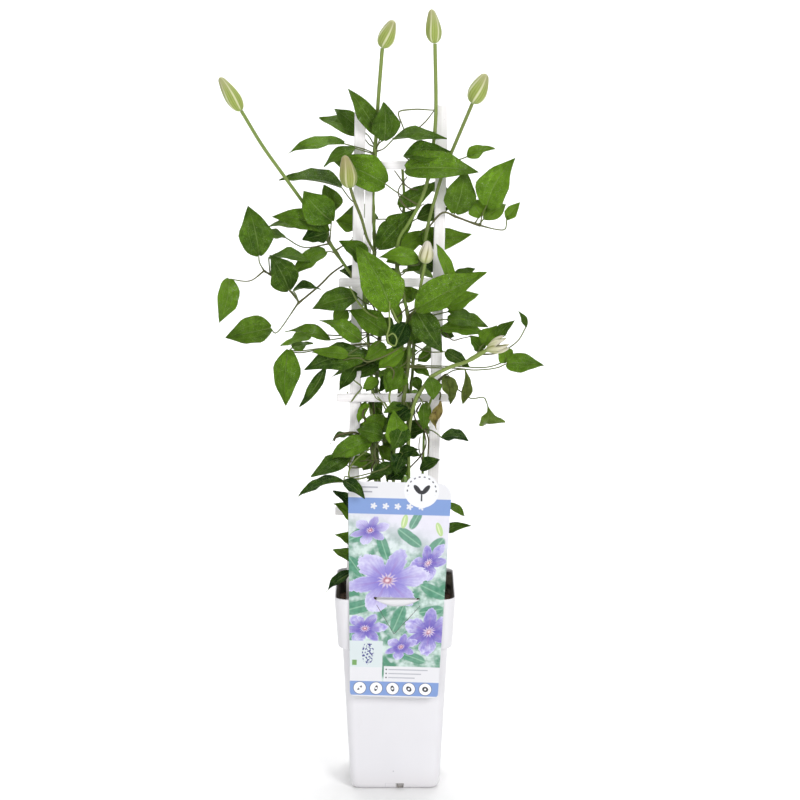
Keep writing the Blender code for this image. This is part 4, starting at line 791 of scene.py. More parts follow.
# A twining stalk has a radius in millimetres, a share of pale skin, and the places it passes.
TENDRILS = (
    (0.85, 1, ((-50, 559, 26), (-42, 544, 28), (-31, 531, 26), (-19, 524, 20))),
    (0.8, 1, ((-6, 544, 36), (-6, 529, 38), (-6, 515, 38), (-8, 504, 40), (-6, 496, 42),
     (0, 494, 44), (2, 501, 44), (-2, 507, 42), (-8, 503, 40))),
    (0.8, 1, ((-4, 535, 34), (1, 525, 34), (7, 514, 30))),
    (0.6, 0, ((15, 537, 22), (9, 531, 24), (2, 524, 20))),
    (0.7, 0, ((-31, 545, 8), (-24, 537, 12), (-19, 525, 8), (-14, 520, 4))),
    (0.6, 0, ((-36, 524, 6), (-32, 529, 10), (-25, 524, 12), (-19, 522, 8))),
    (0.75, 0.3, ((-63, 476, 26), (-50, 480, 34), (-38, 480, 38), (-31, 476, 40), (-20, 479, 40),
     (-6, 485, 38), (3, 490, 34), (9, 497, 26))),
    (0.7, 0.6, ((-51, 460, 10), (-43, 454, 14), (-37, 448, 12), (-43, 439, 12), (-48, 432, 10),
     (-52, 434, 4), (-52, 443, 0))),
    (0.6, 0.2, ((-11, 470, 34), (-6, 470, 38), (-1, 465, 36), (-3, 457, 32), (-8, 452, 26))),
    (0.6, 0.6, ((-19, 438, 16), (-14, 432, 18), (-9, 422, 18), (-3, 419, 20))),
    (0.75, 0.8, ((6, 377, 34), (-2, 366, 38), (-14, 357, 40), (-32, 349, 40), (-47, 347, 38),
     (-51, 353, 36), (-47, 364, 34), (-38, 373, 30), (-28, 380, 24))),
    (0.55, 0.3, ((-50, 366, 14), (-38, 367, 20), (-28, 368, 22), (-19, 366, 16))),
    (0.6, 0.3, ((-56, 365, 18), (-50, 360, 22), (-38, 360, 26), (-28, 365, 24), (-21, 370, 16))),
    (0.75, 0, ((19, 436, 16), (20, 425, 20), (22, 413, 22), (28, 404, 22), (34, 399, 22),
     (37, 390, 20), (36, 377, 18), (36, 366, 14))),
    (0.7, 0, ((32, 401, 18), (34, 386, 22), (28, 373, 22), (18, 361, 18), (10, 353, 12))),
    (0.55, 0, ((28, 394, 14), (26, 381, 18), (29, 370, 18), (32, 359, 12))),
    (0.9, 0, ((29, 431, 18), (24, 422, 22), (29, 417, 24), (28, 412, 20))),
    (0.7, 0.4, ((43, 753, 14), (28, 754, 18), (8, 753, 20), (4, 749, 20), (7, 740, 18),
     (10, 731, 14))),
    (0.6, 0.2, ((43, 752, 12), (34, 741, 14), (21, 728, 12))),
    (0.6, 0.1, ((-1, 686, 10), (8, 674, 16), (16, 667, 18), (25, 665, 16))),
    (0.6, 0.1, ((13, 680, 12), (4, 665, 16), (8, 651, 18), (19, 643, 16), (32, 650, 12))),
    (0.5, 0.4, ((-8, 500, 28), (-16, 499, 30), (-25, 493, 28), (-38, 502, 24))),
    (0.55, 0, ((38, 452, 24), (47, 456, 26), (57, 463, 28), (61, 456, 30))),
    (0.55, 0, ((45, 515, 24), (54, 509, 26), (63, 500, 28), (74, 502, 30), (85, 504, 28))),
    (0.7, 0, ((-32, 410, 20), (-35, 416, 22), (-34, 423, 22), (-30, 425, 20))),
    (0.5, 0.5, ((-10, 430, 30), (-21, 436, 30), (-25, 445, 26))),
    (1.0, 0.1, ((-67, 389, 18), (-65, 394, 20), (-55, 398, 22), (-43, 398, 20), (-36, 393, 14))),
    (0.5, 0.3, ((16, 544, 18), (6, 540, 20), (1, 541, 20))),
    (0.7, 0.7, ((-33, 386, 22), (-43, 377, 26), (-50, 366, 24), (-51, 357, 20))),
    (0.6, 0.2, ((-16, 390, 26), (-23, 379, 30), (-19, 366, 30), (-10, 357, 28), (-3, 346, 22))),
    (0.8, 0.5, ((8, 544, 12), (16, 524, 10), (20, 500, 10), (19, 471, 10))),
    (0.9, 0.9, ((-20, 449, 2), (-12, 432, 2), (-4, 419, 4), (4, 408, 8))),
    (1.0, 0, ((-25, 436, 0), (-23, 421, 0), (-25, 410, 2), (-19, 394, 2))),
    (1.1, 0.8, ((-22, 390, 8), (-15, 373, 10), (-11, 357, 12), (-8, 344, 12))),
    (0.8, 0, ((-27, 379, 12), (-22, 368, 14), (-26, 357, 14), (-21, 346, 12))),
    (0.8, 0.1, ((-38, 434, 4), (-36, 421, 6), (-30, 410, 6), (-25, 403, 4))),
    (0.9, 0.8, ((-2, 373, 24), (1, 357, 26), (-1, 344, 26))),
    (0.9, 0.9, ((2, 470, 26), (-2, 452, 26), (-6, 436, 28), (-1, 420, 26))),
)
STEM_COUNT = sum(len(vine.branches) for vine in VINES)
LEAF_COUNT = sum(len(rows) for rows in INNER_LEAVES.values()) + sum(
    len(vine.leaves) for vine in VINES)
print("stems:", STEM_COUNT, "leaves:", LEAF_COUNT)

# %% [markdown]
# A stem drawn through a few places needs a curve that passes through all of them. The cubic
# between two places leaves along the line between its neighbours, so stretches join without a
# kink. A shorter step only adds points on the same curve.

# %% Smooth routes
SOIL_TOP = 197 * MM
ROOT_DEPTH = 30 * MM
STEM_FOOT = 14 * MM
STEM_STEP = 4 * MM
STALK_STEP = 2.5 * MM
STALK_BEND, STALK_LIFT = 0.12, 0.1


def smooth(places, step):
    """Places along a smooth curve through the given ones, about one step apart."""
    points = [Vector(place) for place in places]
    ends = [points[0] * 2 - points[1]] + points + [points[-1] * 2 - points[-2]]
    route = []
    for before, start, end, after in zip(ends, ends[1:], ends[2:], ends[3:]):
        count = max(1, round((end - start).length * MM / step))
        for index in range(count):
            share = index / count
            square, cube = share ** 2, share ** 3
            place = start * (2 * cube - 3 * square + 1) + end * (3 * square - 2 * cube)
            place += (end - before) / 2 * (cube - 2 * square + share)
            place += (after - start) / 2 * (cube - square)
            route.append(place)
    route.append(points[-1])
    return route


def nearest(route, height):
    """The place of a route that is nearest to a height of the front view."""
    def gap(index):
        low, high = sorted((route[index].y, route[index + 1].y))
        return max(low - height, height - high, 0)

    best = min(reversed(range(len(route) - 1)), key=gap)
    low, high = route[best], route[best + 1]
    rise = high.y - low.y
    share = 0 if abs(rise) < 0.01 else min(1, max(0, (height - low.y) / rise))
    return low.lerp(high, share)


def branch_routes(vine):
    """The route of each branch of a vine, as places of the front view."""
    routes = {}
    for branch in vine.branches:
        places = [Vector(place) for place in branch.places]
        if branch.parent:
            places.insert(0, nearest(routes[branch.parent], branch.start))
        else:
            x, y = (value * MM for value in vine.root)
            low = front(Vector((x, y, SOIL_TOP - ROOT_DEPTH)))
            high = front(Vector((x, y, SOIL_TOP + STEM_FOOT)))
            places = [low, high] + places
        routes[branch.name] = smooth(places, STEM_STEP)
    return routes


def stalk_route(leaf, index, routes):
    """The way of a leaf's stalk from the middle of its branch to the foot of the blade."""
    foot = nearest(routes[leaf.branch], leaf.start)
    base = Vector(leaf.base)
    via = [Vector(place) for place in leaf.via]
    if not via:
        reach = (base - foot).length
        bend = STALK_BEND * reach * (1 if index % 2 else -1)
        via = [foot.lerp(base, 0.5) + Vector((0, bend, STALK_LIFT * reach))]
    return [seen(place) for place in smooth([foot, *via, base], STALK_STEP)]


print("points on the left stem:", len(branch_routes(LEFT_VINE)["left_stem"]))

# %% [markdown]
# Behind the ladder the plant carries leaves as well, which the picture hides. They fan out by a
# rule: each one further up the stem takes a long step along a sine, so no two hang alike. Their
# stalks, lengths, widths and the drop of their tips sway in the same way, each at its own pace.

# %% Leaves at the back
BACK_LEAVES = 13
BACK_LOWEST, BACK_PITCH = 305, 29
BACK_ROLL, BACK_BOW = 120, 0.1
BACK_RISE = 9
BACK_FLATNESS = 0.8


def sway(middle, reach, phase):
    """A value that sways to both sides of its middle."""
    return middle + reach * math.sin(phase)


def back_leaves():
    """Leaves that fan out behind the ladder, each facing up and back."""
    route = smooth([Vector(place) for place in BACK_VINE.branches[0].places], STEM_STEP)
    leaves = []
    for index in range(BACK_LEAVES):
        height = BACK_LOWEST + BACK_PITCH * index
        turn = math.radians(sway(0, 70, 2.1 * index + 0.6))
        across, back = math.sin(turn), -math.cos(turn)
        stalk = sway(20, 9, 1.3 * index)
        length = sway(50, 9, 2.7 * index + 1)
        drop = -sway(6, 10, index)
        width = sway(24, 6, 1.9 * index)
        base = nearest(route, height) + Vector((across * stalk, BACK_RISE, back * stalk))
        tip = base + Vector((across * length, drop, back * length * BACK_FLATNESS))
        leaves.append(
            Leaf("back_stem", height, tuple(base), tuple(tip), width, BACK_ROLL, BACK_BOW))
    return leaves


def leaves_of(vine):
    """The leaves of a vine: large, small and, at the back, the fan."""
    inner = list(INNER_LEAVES.get(vine.name, ()))
    return list(vine.leaves) + inner + (back_leaves() if vine is BACK_VINE else [])


print("leaves in all:", sum(len(leaves_of(vine)) for vine in VINES))

# %% [markdown]
# Every piece is gathered as points and faces, and each point also remembers its look: four
# shares that its finish reads, and a place across and along. One skin can so hold a stem and all
# of its leaves, and still every leaf has its own green.

# %% A skin that remembers its looks
Look = namedtuple("Look", "first second third fourth", defaults=(0.0, 0.0, 0.0, 0.0))


def placed(name, data):
    """An object made of some data and put in the scene."""
    made = bpy.data.objects.new(name, data)
    bpy.context.scene.collection.objects.link(made)
    return made


class Skin:
    """Points and faces of one piece, with what their finish needs to know."""

    def __init__(self):
        self.points, self.looks, self.spreads = [], [], []
        self.faces, self.finishes = [], []

    def ring(self, points, looks, spreads=None):
        """Add points; looks is one Look for all of them, or one for each."""
        first = len(self.points)
        if isinstance(looks, Look):
            looks = [looks] * len(points)
        self.points += points
        self.looks += looks
        self.spreads += spreads or [(0.5, 0.5)] * len(points)
        return list(range(first, len(self.points)))

    def face(self, corners, finish=0):
        """Add one face."""
        self.faces.append(tuple(corners))
        self.finishes.append(finish)

    def wrap(self, rows, finish=0):
        """Faces all round between rows of as many points each."""
        for low, high in zip(rows, rows[1:]):
            for here in range(len(low)):
                after = (here + 1) % len(low)
                self.face((low[here], low[after], high[after], high[here]), finish)

    def close(self, rows, finish=0):
        """Faces between rows, and a lid on the first row and on the last."""
        self.wrap(rows, finish)
        self.face(reversed(rows[0]), finish)
        self.face(rows[-1], finish)

    def tube(self, route, radii, looks, sides):
        """A closed round skin along a route, without twist."""
        up = Vector((0.9, 0.2, 0.4))
        rows = []
        for index, here in enumerate(route):
            way = (route[min(index + 1, len(route) - 1)] - route[max(index - 1, 0)]).normalized()
            up = (up - way * up.dot(way)).normalized()
            side = way.cross(up)
            angles = [2 * math.pi * step / sides for step in range(sides)]
            ring = [here + (up * math.cos(a) + side * math.sin(a)) * radii[index] for a in angles]
            rows.append(self.ring(ring, looks[index]))
        self.close(rows)

    def piece(self, name, finishes, slot, *nodes, sharp=50):
        """The object that this skin becomes, and the model's nodes that it stands for."""
        mesh = bpy.data.meshes.new(name)
        mesh.from_pydata(self.points, [], self.faces)
        for finish in finishes:
            mesh.materials.append(finish)
        mesh.polygons.foreach_set("material_index", self.finishes)
        look = mesh.attributes.new("look", "FLOAT_COLOR", "POINT")
        look.data.foreach_set("color", [share for row in self.looks for share in row])
        spread = mesh.uv_layers.new(name="across_along")
        for loop, place in zip(mesh.loops, spread.data):
            place.uv = self.spreads[loop.vertex_index]
        mesh.shade_smooth()
        mesh.set_sharp_from_angle(angle=math.radians(sharp))
        made = placed(name, mesh)
        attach(made, "root")
        if nodes:
            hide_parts(*nodes)
        print(name, len(mesh.vertices), "points")
        return made


# %% [markdown]
# A climbing stem thickens a little at each node, where a leaf stalk leaves, and again toward its
# bud. The long last stretch below a bud is paler and fuller than the old wood near the soil,
# which has a brown blush. Two stems turn pale lower down, as they are fresh all the way to their
# buds, and the thinnest branches and two dusky ones are browner. Leaf stalks start stout, thin
# out and run on under the blade as its midrib.

# %% Stems and leaf stalks
STALK_RADIUS = 0.92 * MM
NODE_REACH = 3.0 * MM
NODE_SWELL = 0.35
NODE_BROWN = 1.6
BUD_END_SWELL = 0.42
PALE_FROM, PALE_TO, PALEST_FROM = 560, 700, 820
PALE_FULLNESS = 0.35
FRESH_BRANCHES = ("centre_shoot", "front_stem")
FRESH_FROM, FRESH_TO = 0.35, 0.7
OLD_WOOD_BROWN = 0.45
OLD_WOOD_BELOW, YOUNG_WOOD_ABOVE = 240, 400
OLD_WOOD_BEHIND, YOUNG_WOOD_BEFORE = 5, 25
THIN_BRANCH, THIN_BRANCH_BROWN = 1, 0.8
DUSKY_BRANCHES = {"bud_shoot": 0.45, "right_stem": 0.2}
STEM_SIDES, STALK_SIDES, MIDRIB_SIDES = 10, 7, 6


def ramp(value, low, high):
    """0 below low, 1 above high, and even between them."""
    return min(1.0, max(0.0, (value - low) / (high - low)))


def brownness(branch, place):
    """How brown a branch is at a place: old wood, thin branches and dusky ones are."""
    low = 1 - ramp(place.y, OLD_WOOD_BELOW, YOUNG_WOOD_ABOVE)
    behind = 1 - ramp(place.z, OLD_WOOD_BEHIND, YOUNG_WOOD_BEFORE)
    thin = THIN_BRANCH_BROWN * (branch.radii[0] < THIN_BRANCH)
    return max(OLD_WOOD_BROWN * low * behind, thin, DUSKY_BRANCHES.get(branch.name, 0))


def grow_stem(skin, branch, route, feet):
    """A branch with a swelling wherever a leaf stalk leaves it."""
    points = [seen(place) for place in route]
    radii, looks = [], []
    for index, (point, place) in enumerate(zip(points, route)):
        share = index / (len(points) - 1)
        radius = (branch.radii[0] + (branch.radii[1] - branch.radii[0]) * share) * MM
        near = min(((point - foot).length for foot in feet), default=1.0)
        swell = NODE_SWELL * math.exp(-(near / NODE_REACH) ** 2)
        pale = 0.6 * ramp(place.y, PALE_FROM, PALE_TO)
        pale += 0.4 * ramp(place.y, PALE_TO, PALEST_FROM)
        fullness = 1 + PALE_FULLNESS * pale
        radii.append(radius * (1 + swell) * (1 + BUD_END_SWELL * share) * fullness)
        if branch.name in FRESH_BRANCHES:
            pale = max(pale, ramp(share, FRESH_FROM, FRESH_TO))
        brown = max(brownness(branch, place), swell * NODE_BROWN * (1 - pale))
        looks.append(Look(pale, brown))
    skin.tube(points, radii, looks, STEM_SIDES)


def grow_stalk(skin, points):
    """A leaf stalk, stout at its foot."""
    radii, looks = [], []
    for index in range(len(points)):
        share = index / (len(points) - 1)
        radii.append(STALK_RADIUS * (1.25 - 0.45 * ramp(share, 0, 0.3)))
        looks.append(Look(0.0, 0.75 - 0.35 * share))
    skin.tube(points, radii, looks, STALK_SIDES)


# %% [markdown]
# A leaflet is oval with a drawn-out tip, folded up a little along its midrib and gently waved.
# Its outline is one formula for the half width. Sines give its edge slow waves, a quick frill and
# scallops, and noise puckers its face; a wilted leaf is frilled and puckered more. The blade is a
# closed skin: a ring of points runs across its upper face and back below, so it has a real edge
# and a paler underside. The foot of the blade is drawn back beside the stalk, which makes the
# heart shape of the base.

# %% Leaf blades
BLADE_POINT = 0.35
BLADE_RIPPLE = 1.3 * MM
BLADE_FRILL = 0.03
BLADE_PUCKER = 1.1 * MM
BLADE_CRUMPLE = 130
BLADE_SCALLOP = 0.05
BLADE_BREADTH = 1.06
BLADE_HEART = 0.07
BLADE_THICKNESS = 0.4 * MM
BLADE_ROWS = 16
BLADE_COLUMNS = (-1, -0.88, -0.64, -0.36, -0.12, 0, 0.12, 0.36, 0.64, 0.88, 1)
# A blade's faces take the second finish of a vine, and the stalks take the first.
BLADE_INDEX = 1
MIDRIB_REACH, MIDRIB_STEPS = 0.85, 9
MIDRIB_DEPTH = 0.35 * MM


def blade_share(along, widest):
    """Half the blade's width at a share of its length; it is widest at the given share."""
    turned = along ** (math.log(0.5) / math.log(widest))
    return math.sin(math.pi * turned) ** 0.85 * (1 - BLADE_POINT * along ** 3)


def blade_face(base, tip, roll):
    """The direction that the blade's upper face looks in."""
    axis = (tip - base).normalized()
    to_eye = (EYE - (base + tip) / 2).normalized()
    face = (to_eye - axis * to_eye.dot(axis)).normalized()
    side = axis.cross(face)
    lift = side if side.z + 0.2 * side.x > 0 else -side
    turn = math.radians(roll)
    return (face * math.cos(turn) + lift * math.sin(turn)).normalized()


Bend = namedtuple("Bend", "fold curl sweep twist widest")


def grow_blade(skin, leaf, index, look, bend):
    """One blade, folded up along its midrib, its tip curled back, swept sideways and twisted."""
    base, tip = seen(leaf.base), seen(leaf.tip)
    axis = tip - base
    way = axis.normalized()
    level = blade_face(base, tip, leaf.roll)
    width = leaf.width * BLADE_BREADTH * MM
    above, below = look, look._replace(second=1.0)
    rows = []
    for row in range(1, BLADE_ROWS):
        along = 0.5 - 0.5 * math.cos(math.pi * row / BLADE_ROWS)
        half = width / 2 * blade_share(along, bend.widest)
        face = Matrix.Rotation(bend.twist * (along - 0.3), 3, way) @ level
        side = way.cross(face)
        arch = leaf.bow * 4 * along * (1 - along) - bend.curl * max(0.0, along - 0.55) ** 2
        middle = base + axis * along + level * (arch * axis.length)
        middle += way.cross(level) * (bend.sweep * axis.length * 4 * along * (1 - along))
        upper, lower = [], []
        for edge in BLADE_COLUMNS:
            # The two halves of a blade wave out of step, and so do neighbouring leaves.
            slow = BLADE_RIPPLE * math.sin(9 * along + 2.4 * index + 1.7 * (edge > 0))
            frill = BLADE_FRILL * width * (1 + 3 * leaf.wilt)
            quick = frill * math.sin(19 * along + 3 * index + 2.2 * (edge > 0)) * edge ** 2
            rise = abs(edge) * (bend.fold * half + slow) + quick * math.sin(math.pi * along)
            crumple = Vector((edge * half, along * axis.length, index * 7 * MM)) * BLADE_CRUMPLE
            rise += BLADE_PUCKER * (1 + 3 * leaf.wilt) * noise.noise(crumple) * (half * 2 / width)
            heart = BLADE_HEART * width * edge ** 2 * (1 - along) ** 6
            wave = math.sin(15 * along + 5 * index + 2 * (edge > 0))
            scallop = 1 + BLADE_SCALLOP * wave * abs(edge)
            point = middle + side * (edge * half * scallop) + face * rise - way * heart
            skin_half = face * (BLADE_THICKNESS / 2 * (1 - edge ** 2) ** 0.5)
            upper.append((point + skin_half, ((edge + 1) / 2, along), above))
            lower.append((point - skin_half, ((edge + 1) / 2, along), below))
        loop = upper + list(reversed(lower[1:-1]))
        points, spreads, looks = zip(*loop)
        rows.append(skin.ring(list(points), list(looks), list(spreads)))
    skin.wrap(rows, BLADE_INDEX)
    end_place = tip - level * bend.curl * axis.length * 0.2
    for place, last, order in ((base, rows[0], 1), (end_place, rows[-1], -1)):
        end = skin.ring([place], above, [(0.5, 0.0 if order == 1 else 1.0)])[0]
        for here, after in zip(last, last[1:] + last[:1]):
            skin.face((here, after, end)[::order], BLADE_INDEX)


def grow_midrib(skin, leaf, sweep):
    """The midrib that stands out below the blade."""
    base, tip = seen(leaf.base), seen(leaf.tip)
    axis = tip - base
    face = blade_face(base, tip, leaf.roll)
    side = axis.normalized().cross(face)
    route, radii, looks = [], [], []
    for step in range(MIDRIB_STEPS + 1):
        along = MIDRIB_REACH * step / MIDRIB_STEPS
        hump = axis.length * 4 * along * (1 - along)
        bend = face * (leaf.bow * hump - MIDRIB_DEPTH) + side * (sweep * hump)
        route.append(base + axis * along + bend)
        radii.append(STALK_RADIUS * (0.75 - 0.65 * step / MIDRIB_STEPS))
        looks.append(Look(0.35, 0.15))
    skin.tube(route, radii, looks, MIDRIB_SIDES)


# %% [markdown]
# Each vine becomes one piece, as its stems and leaves grow from each other. A seeded draw gives
# every leaf its own green and its own bend; leaves high up on the plant are younger and lighter.

# %% The eight vines
YOUNG_SHARE = 0.25
YOUNG_FROM, YOUNG_TO = 300, 700
SWEEPS, FOLDS, CURLS = (-0.07, 0.07), (0.12, 0.65), (-0.3, 0.5)
TWISTS, WIDEST_PLACES = (-0.7, 0.7), (0.32, 0.46)
WILTED_FOLD = 1.1


def drawn_look(leaf, chance):
    """The green of one leaf; a row's own tone goes before the drawn one."""
    young = YOUNG_SHARE * chance.random() * ramp(leaf.base[1], YOUNG_FROM, YOUNG_TO)
    tone = chance.random()
    return Look(tone if leaf.tone is None else leaf.tone, 0.0, young, 0.5 * leaf.wilt)


def drawn_bend(leaf, chance):
    """The bend of one leaf; a wilted leaf is folded hard."""
    sweep = chance.uniform(*SWEEPS)
    fold = chance.uniform(*FOLDS) * (1 - leaf.wilt) + WILTED_FOLD * leaf.wilt
    curl, twist = chance.uniform(*CURLS), chance.uniform(*TWISTS)
    widest = chance.uniform(*WIDEST_PLACES)
    return Bend(fold, curl, sweep, twist, leaf.widest or widest)


def grow_vine(vine):
    """The stems of a vine, then leaf by leaf its stalks, midribs and blades."""
    chance = random.Random(vine.name)
    skin = Skin()
    routes = branch_routes(vine)
    leaves = leaves_of(vine)
    stalks = [stalk_route(leaf, index, routes) for index, leaf in enumerate(leaves)]
    for branch in vine.branches:
        feet = [stalk[0] for leaf, stalk in zip(leaves, stalks) if leaf.branch == branch.name]
        grow_stem(skin, branch, routes[branch.name], feet)
    for index, (leaf, stalk) in enumerate(zip(leaves, stalks)):
        look = drawn_look(leaf, chance)
        bend = drawn_bend(leaf, chance)
        grow_stalk(skin, stalk)
        grow_midrib(skin, leaf, bend.sweep)
        grow_blade(skin, leaf, index, look, bend)
    return skin


for vine in VINES:
    grow_vine(vine).piece(
        f"{vine.name}_skin", (STEM_FINISH, LEAF_FINISH), "leafy_stem", vine.name)

# %% [markdown]
# The twining stalks are one piece of their own. A little noise bends each one between the places
# that were read, as no stalk is a clean curve, and each is thickest in its middle. Noise with a
# direction starts from a seed, and without one the clock would bend the stalks anew in each run.

# %% Twining stalks
TWINE_SEED = 7
TWINE_NOISE = 60
TWINE_BEND = 0.8
TWINE_BROWN = 0.9

noise.seed_set(TWINE_SEED)
skin = Skin()
for radius, pale, places in TENDRILS:
    route = [seen(place) for place in smooth(places, STALK_STEP)]
    route = [point + noise.noise_vector(point * TWINE_NOISE) * TWINE_BEND * MM for point in route]
    last = len(route) - 1
    radii = [radius * MM * (1.35 - 0.35 * abs(2 * step / last - 1)) for step in range(last + 1)]
    look = Look(pale, TWINE_BROWN * (1 - pale))
    skin.tube(route, radii, [look] * len(route), STALK_SIDES)
skin.piece("twining_stalks", (STEM_FINISH,), "leafy_stem")

# %% [markdown]
# Buds are turned shapes with six ridges, where the edges of two sepals meet. The ridges wind a
# little round the bud toward its tip. A half-open bud is a cup with the sepals' ends apart, and
# its last rows turn back into the cup.

# %% Buds
BUD_SIDES = 48
BUD_ROWS = 26
BUD_GROOVE = 0.1
BUD_TWIST = 0.5
BUD_WIDEST = 0.36
BUD_BLUNT = 0.92
BUD_GAP = 0.2
BUD_PLAIN = Look(0.15)
BUD_LOOKS = {"bud_brown": Look(1.0), "bud_cream": Look(0.3, 1.0), "bud_open": Look(0.2, 0.7)}
CUP_FLOOR = 0.35
CUP_STEPS = (0.25, 0.6, 0.85)


def bud_share(along):
    """Half a bud's width at a share of its length: round below, drawn in above, blunt on top."""
    if along < BUD_WIDEST:
        return math.sqrt(1 - (1 - along / BUD_WIDEST) ** 2)
    share = 1 - 0.7 * ((along - BUD_WIDEST) / (1 - BUD_WIDEST)) ** 1.6
    return share * math.sqrt(1 - ramp(along, BUD_BLUNT, 1) ** 2)


def cup_share(along):
    """The same for a half-open bud, which stays wide toward its tip."""
    return math.sin(math.pi * (0.06 + 0.66 * along)) ** 0.8


def grow_bud(bud, end):
    """A ribbed bud on the end of its branch."""
    tip = seen(bud.tip)
    axis = (tip - end).normalized()
    base = end + axis * BUD_GAP * MM
    frame_turn = axis.to_track_quat("Z", "Y").to_matrix()
    look = BUD_LOOKS.get(bud.name, BUD_PLAIN)
    outline = cup_share if bud.apart else bud_share
    skin = Skin()
    rows = []
    for row in range(BUD_ROWS):
        along = 0.5 - 0.5 * math.cos(math.pi * row / (BUD_ROWS - 1))
        radius = bud.width * MM / 2 * outline(along)
        ring, spreads = [], []
        for step in range(BUD_SIDES):
            angle = 2 * math.pi * step / BUD_SIDES
            ridge = abs(math.cos(3 * angle)) ** 1.5
            groove = BUD_GROOVE + 0.25 * bud.apart * along
            out = radius * (1 - groove * (1 - ridge) * math.sin(math.pi * along) ** 0.5)
            rise = along * (1 - 0.5 * bud.apart * (1 - ridge) * along)
            turn = angle + BUD_TWIST * along
            ring.append(base + axis * ((tip - base).length * rise)
                        + frame_turn @ Vector((math.cos(turn), math.sin(turn), 0)) * out)
            spreads.append((abs(2 * step / BUD_SIDES - 1), along))
        rows.append(skin.ring(ring, look, spreads))
    if bud.apart:
        floor = base + axis * (tip - base).length * CUP_FLOOR
        lip = [skin.points[index] for index in rows[-1]]
        for share in CUP_STEPS:
            rows.append(skin.ring([point.lerp(floor, share) for point in lip], look))
    skin.close(rows)
    skin.piece(f"{bud.name}_skin", (BUD_FINISH,), "bud", bud.name)


for vine in VINES:
    routes = branch_routes(vine)
    for bud in vine.buds:
        grow_bud(bud, seen(routes[bud.branch][-1]))

# %% [markdown]
# One leaf on the right has dried up. It is the same blade, browned and curled.

# %% The dry leaf
DRY_BEND = Bend(fold=0.9, curl=0.4, sweep=0.1, twist=2.2, widest=0.5)
DRY_LOOK = Look(first=0.3, fourth=1.0)
DRY_INDEX = 3

skin = Skin()
grow_blade(skin, DRY_LEAF, DRY_INDEX, DRY_LOOK, DRY_BEND)
skin.piece("dry_leaf_skin", (STEM_FINISH, LEAF_FINISH), "dry_leaf", "dry_leaf")

# %% [markdown]
# The pot is a square beaker with round corners: a tapered body, then a ledge, then a slightly
# wider collar that ends in a rounded lip. Rings of a rounded square are stacked from the foot up
# the outside, over the lip and down the inside. The drain holes and the four notches in the foot
# are cut afterwards, as a mould's pins would leave them.

# %% Rings of the pot
# Each ring is (half width, corner radius, height) in millimetres.
CORNER_STEPS = 10
SIDE_STEPS = 8
POT_RINGS = (
    (42.0, 7.6, 0), (44.6, 8.2, 0.6), (46.8, 8.6, 2), (48.5, 8.9, 4.5), (49.4, 9.1, 7.8),
    (50.4, 9.3, 22),
    (52.3, 9.7, 58), (54.2, 10.2, 94), (55.9, 10.6, 126),
    (57.6, 11, 159), (57.9, 11, 164.6), (58.3, 11.1, 165.6), (59.2, 11.4, 166.3),
    (61.8, 13, 167.2), (62.6, 14, 167.9), (62.9, 14, 169.0), (64.7, 14, 196),
    (66.3, 14, 221.5), (66.5, 14, 223.9), (66.2, 14, 224.7), (65.7, 13.6, 225.0),
    (65.2, 13.2, 224.7), (64.9, 12.9, 223.9),
)
INSIDE_RINGS = ((64.6, 12.6, 220), (62.9, 12.4, 196), (61.2, 12.4, 170.2), (56.4, 9.4, 166.4),
                (52.6, 8.6, 94), (48.1, 7.4, 10.6), (46.4, 7.4, 9.2))


def rounded_square(half, corner, height):
    """A level ring of points along a square with round corners."""
    ring = []
    for quarter in range(4):
        turn = Matrix.Rotation(quarter * math.pi / 2, 3, "Z")
        flat = half - corner
        for step in range(1, SIDE_STEPS):
            ring.append(turn @ Vector((half, flat * (2 * step / SIDE_STEPS - 1), height)))
        for step in range(CORNER_STEPS + 1):
            angle = step / CORNER_STEPS * math.pi / 2
            x, y = flat + corner * math.cos(angle), flat + corner * math.sin(angle)
            ring.append(turn @ Vector((x, y, height)))
    return ring


def stack(skin, sizes, look):
    """Rounded squares in a skin, from rows of half width, corner and height in millimetres."""
    return [skin.ring(rounded_square(*(size * MM for size in row)), look) for row in sizes]


def pot_skin():
    """White outside and black inside, still without holes."""
    skin = Skin()
    skin.close(stack(skin, POT_RINGS, Look(0.0)) + stack(skin, INSIDE_RINGS, Look(1.0)))
    return skin


# %% Holes of the pot
DRAIN_PLACE, DRAIN_RADIUS, DRAIN_SPAN = 30, 4, (-2, 12)
NOTCH_LEFT, NOTCH_RIGHT, NOTCH_FRONT, NOTCH_BACK = 3, 9, -56, -45.3
NOTCH_SPAN = (-7, 7)
POT_SHARP = 40


def baked(made):
    """The mesh that an object has with its modifiers, or that a curve fills."""
    bpy.context.view_layer.update()
    graph = bpy.context.evaluated_depsgraph_get()
    return bpy.data.meshes.new_from_object(made.evaluated_get(graph))


def cut_away(made, cutters):
    """Cut closed shapes out of an object for good."""
    for cutter in cutters:
        hole = made.modifiers.new("hole", "BOOLEAN")
        hole.operation = "DIFFERENCE"
        hole.object = cutter
        hole.solver = "MANIFOLD"
    mesh = baked(made)
    made.modifiers.clear()
    mesh.name = made.data.name
    made.data = mesh
    mesh.set_sharp_from_angle(angle=math.radians(POT_SHARP))
    for cutter in cutters:
        bpy.data.objects.remove(cutter)


def cutter_of(rings):
    """A closed cutter through rings of points."""
    skin = Skin()
    rows = [skin.ring(ring, Look()) for ring in rings]
    skin.face(reversed(rows[0]))
    skin.face(rows[-1])
    skin.wrap(rows)
    mesh = bpy.data.meshes.new("cutter")
    mesh.from_pydata(skin.points, [], skin.faces)
    return placed("cutter", mesh)


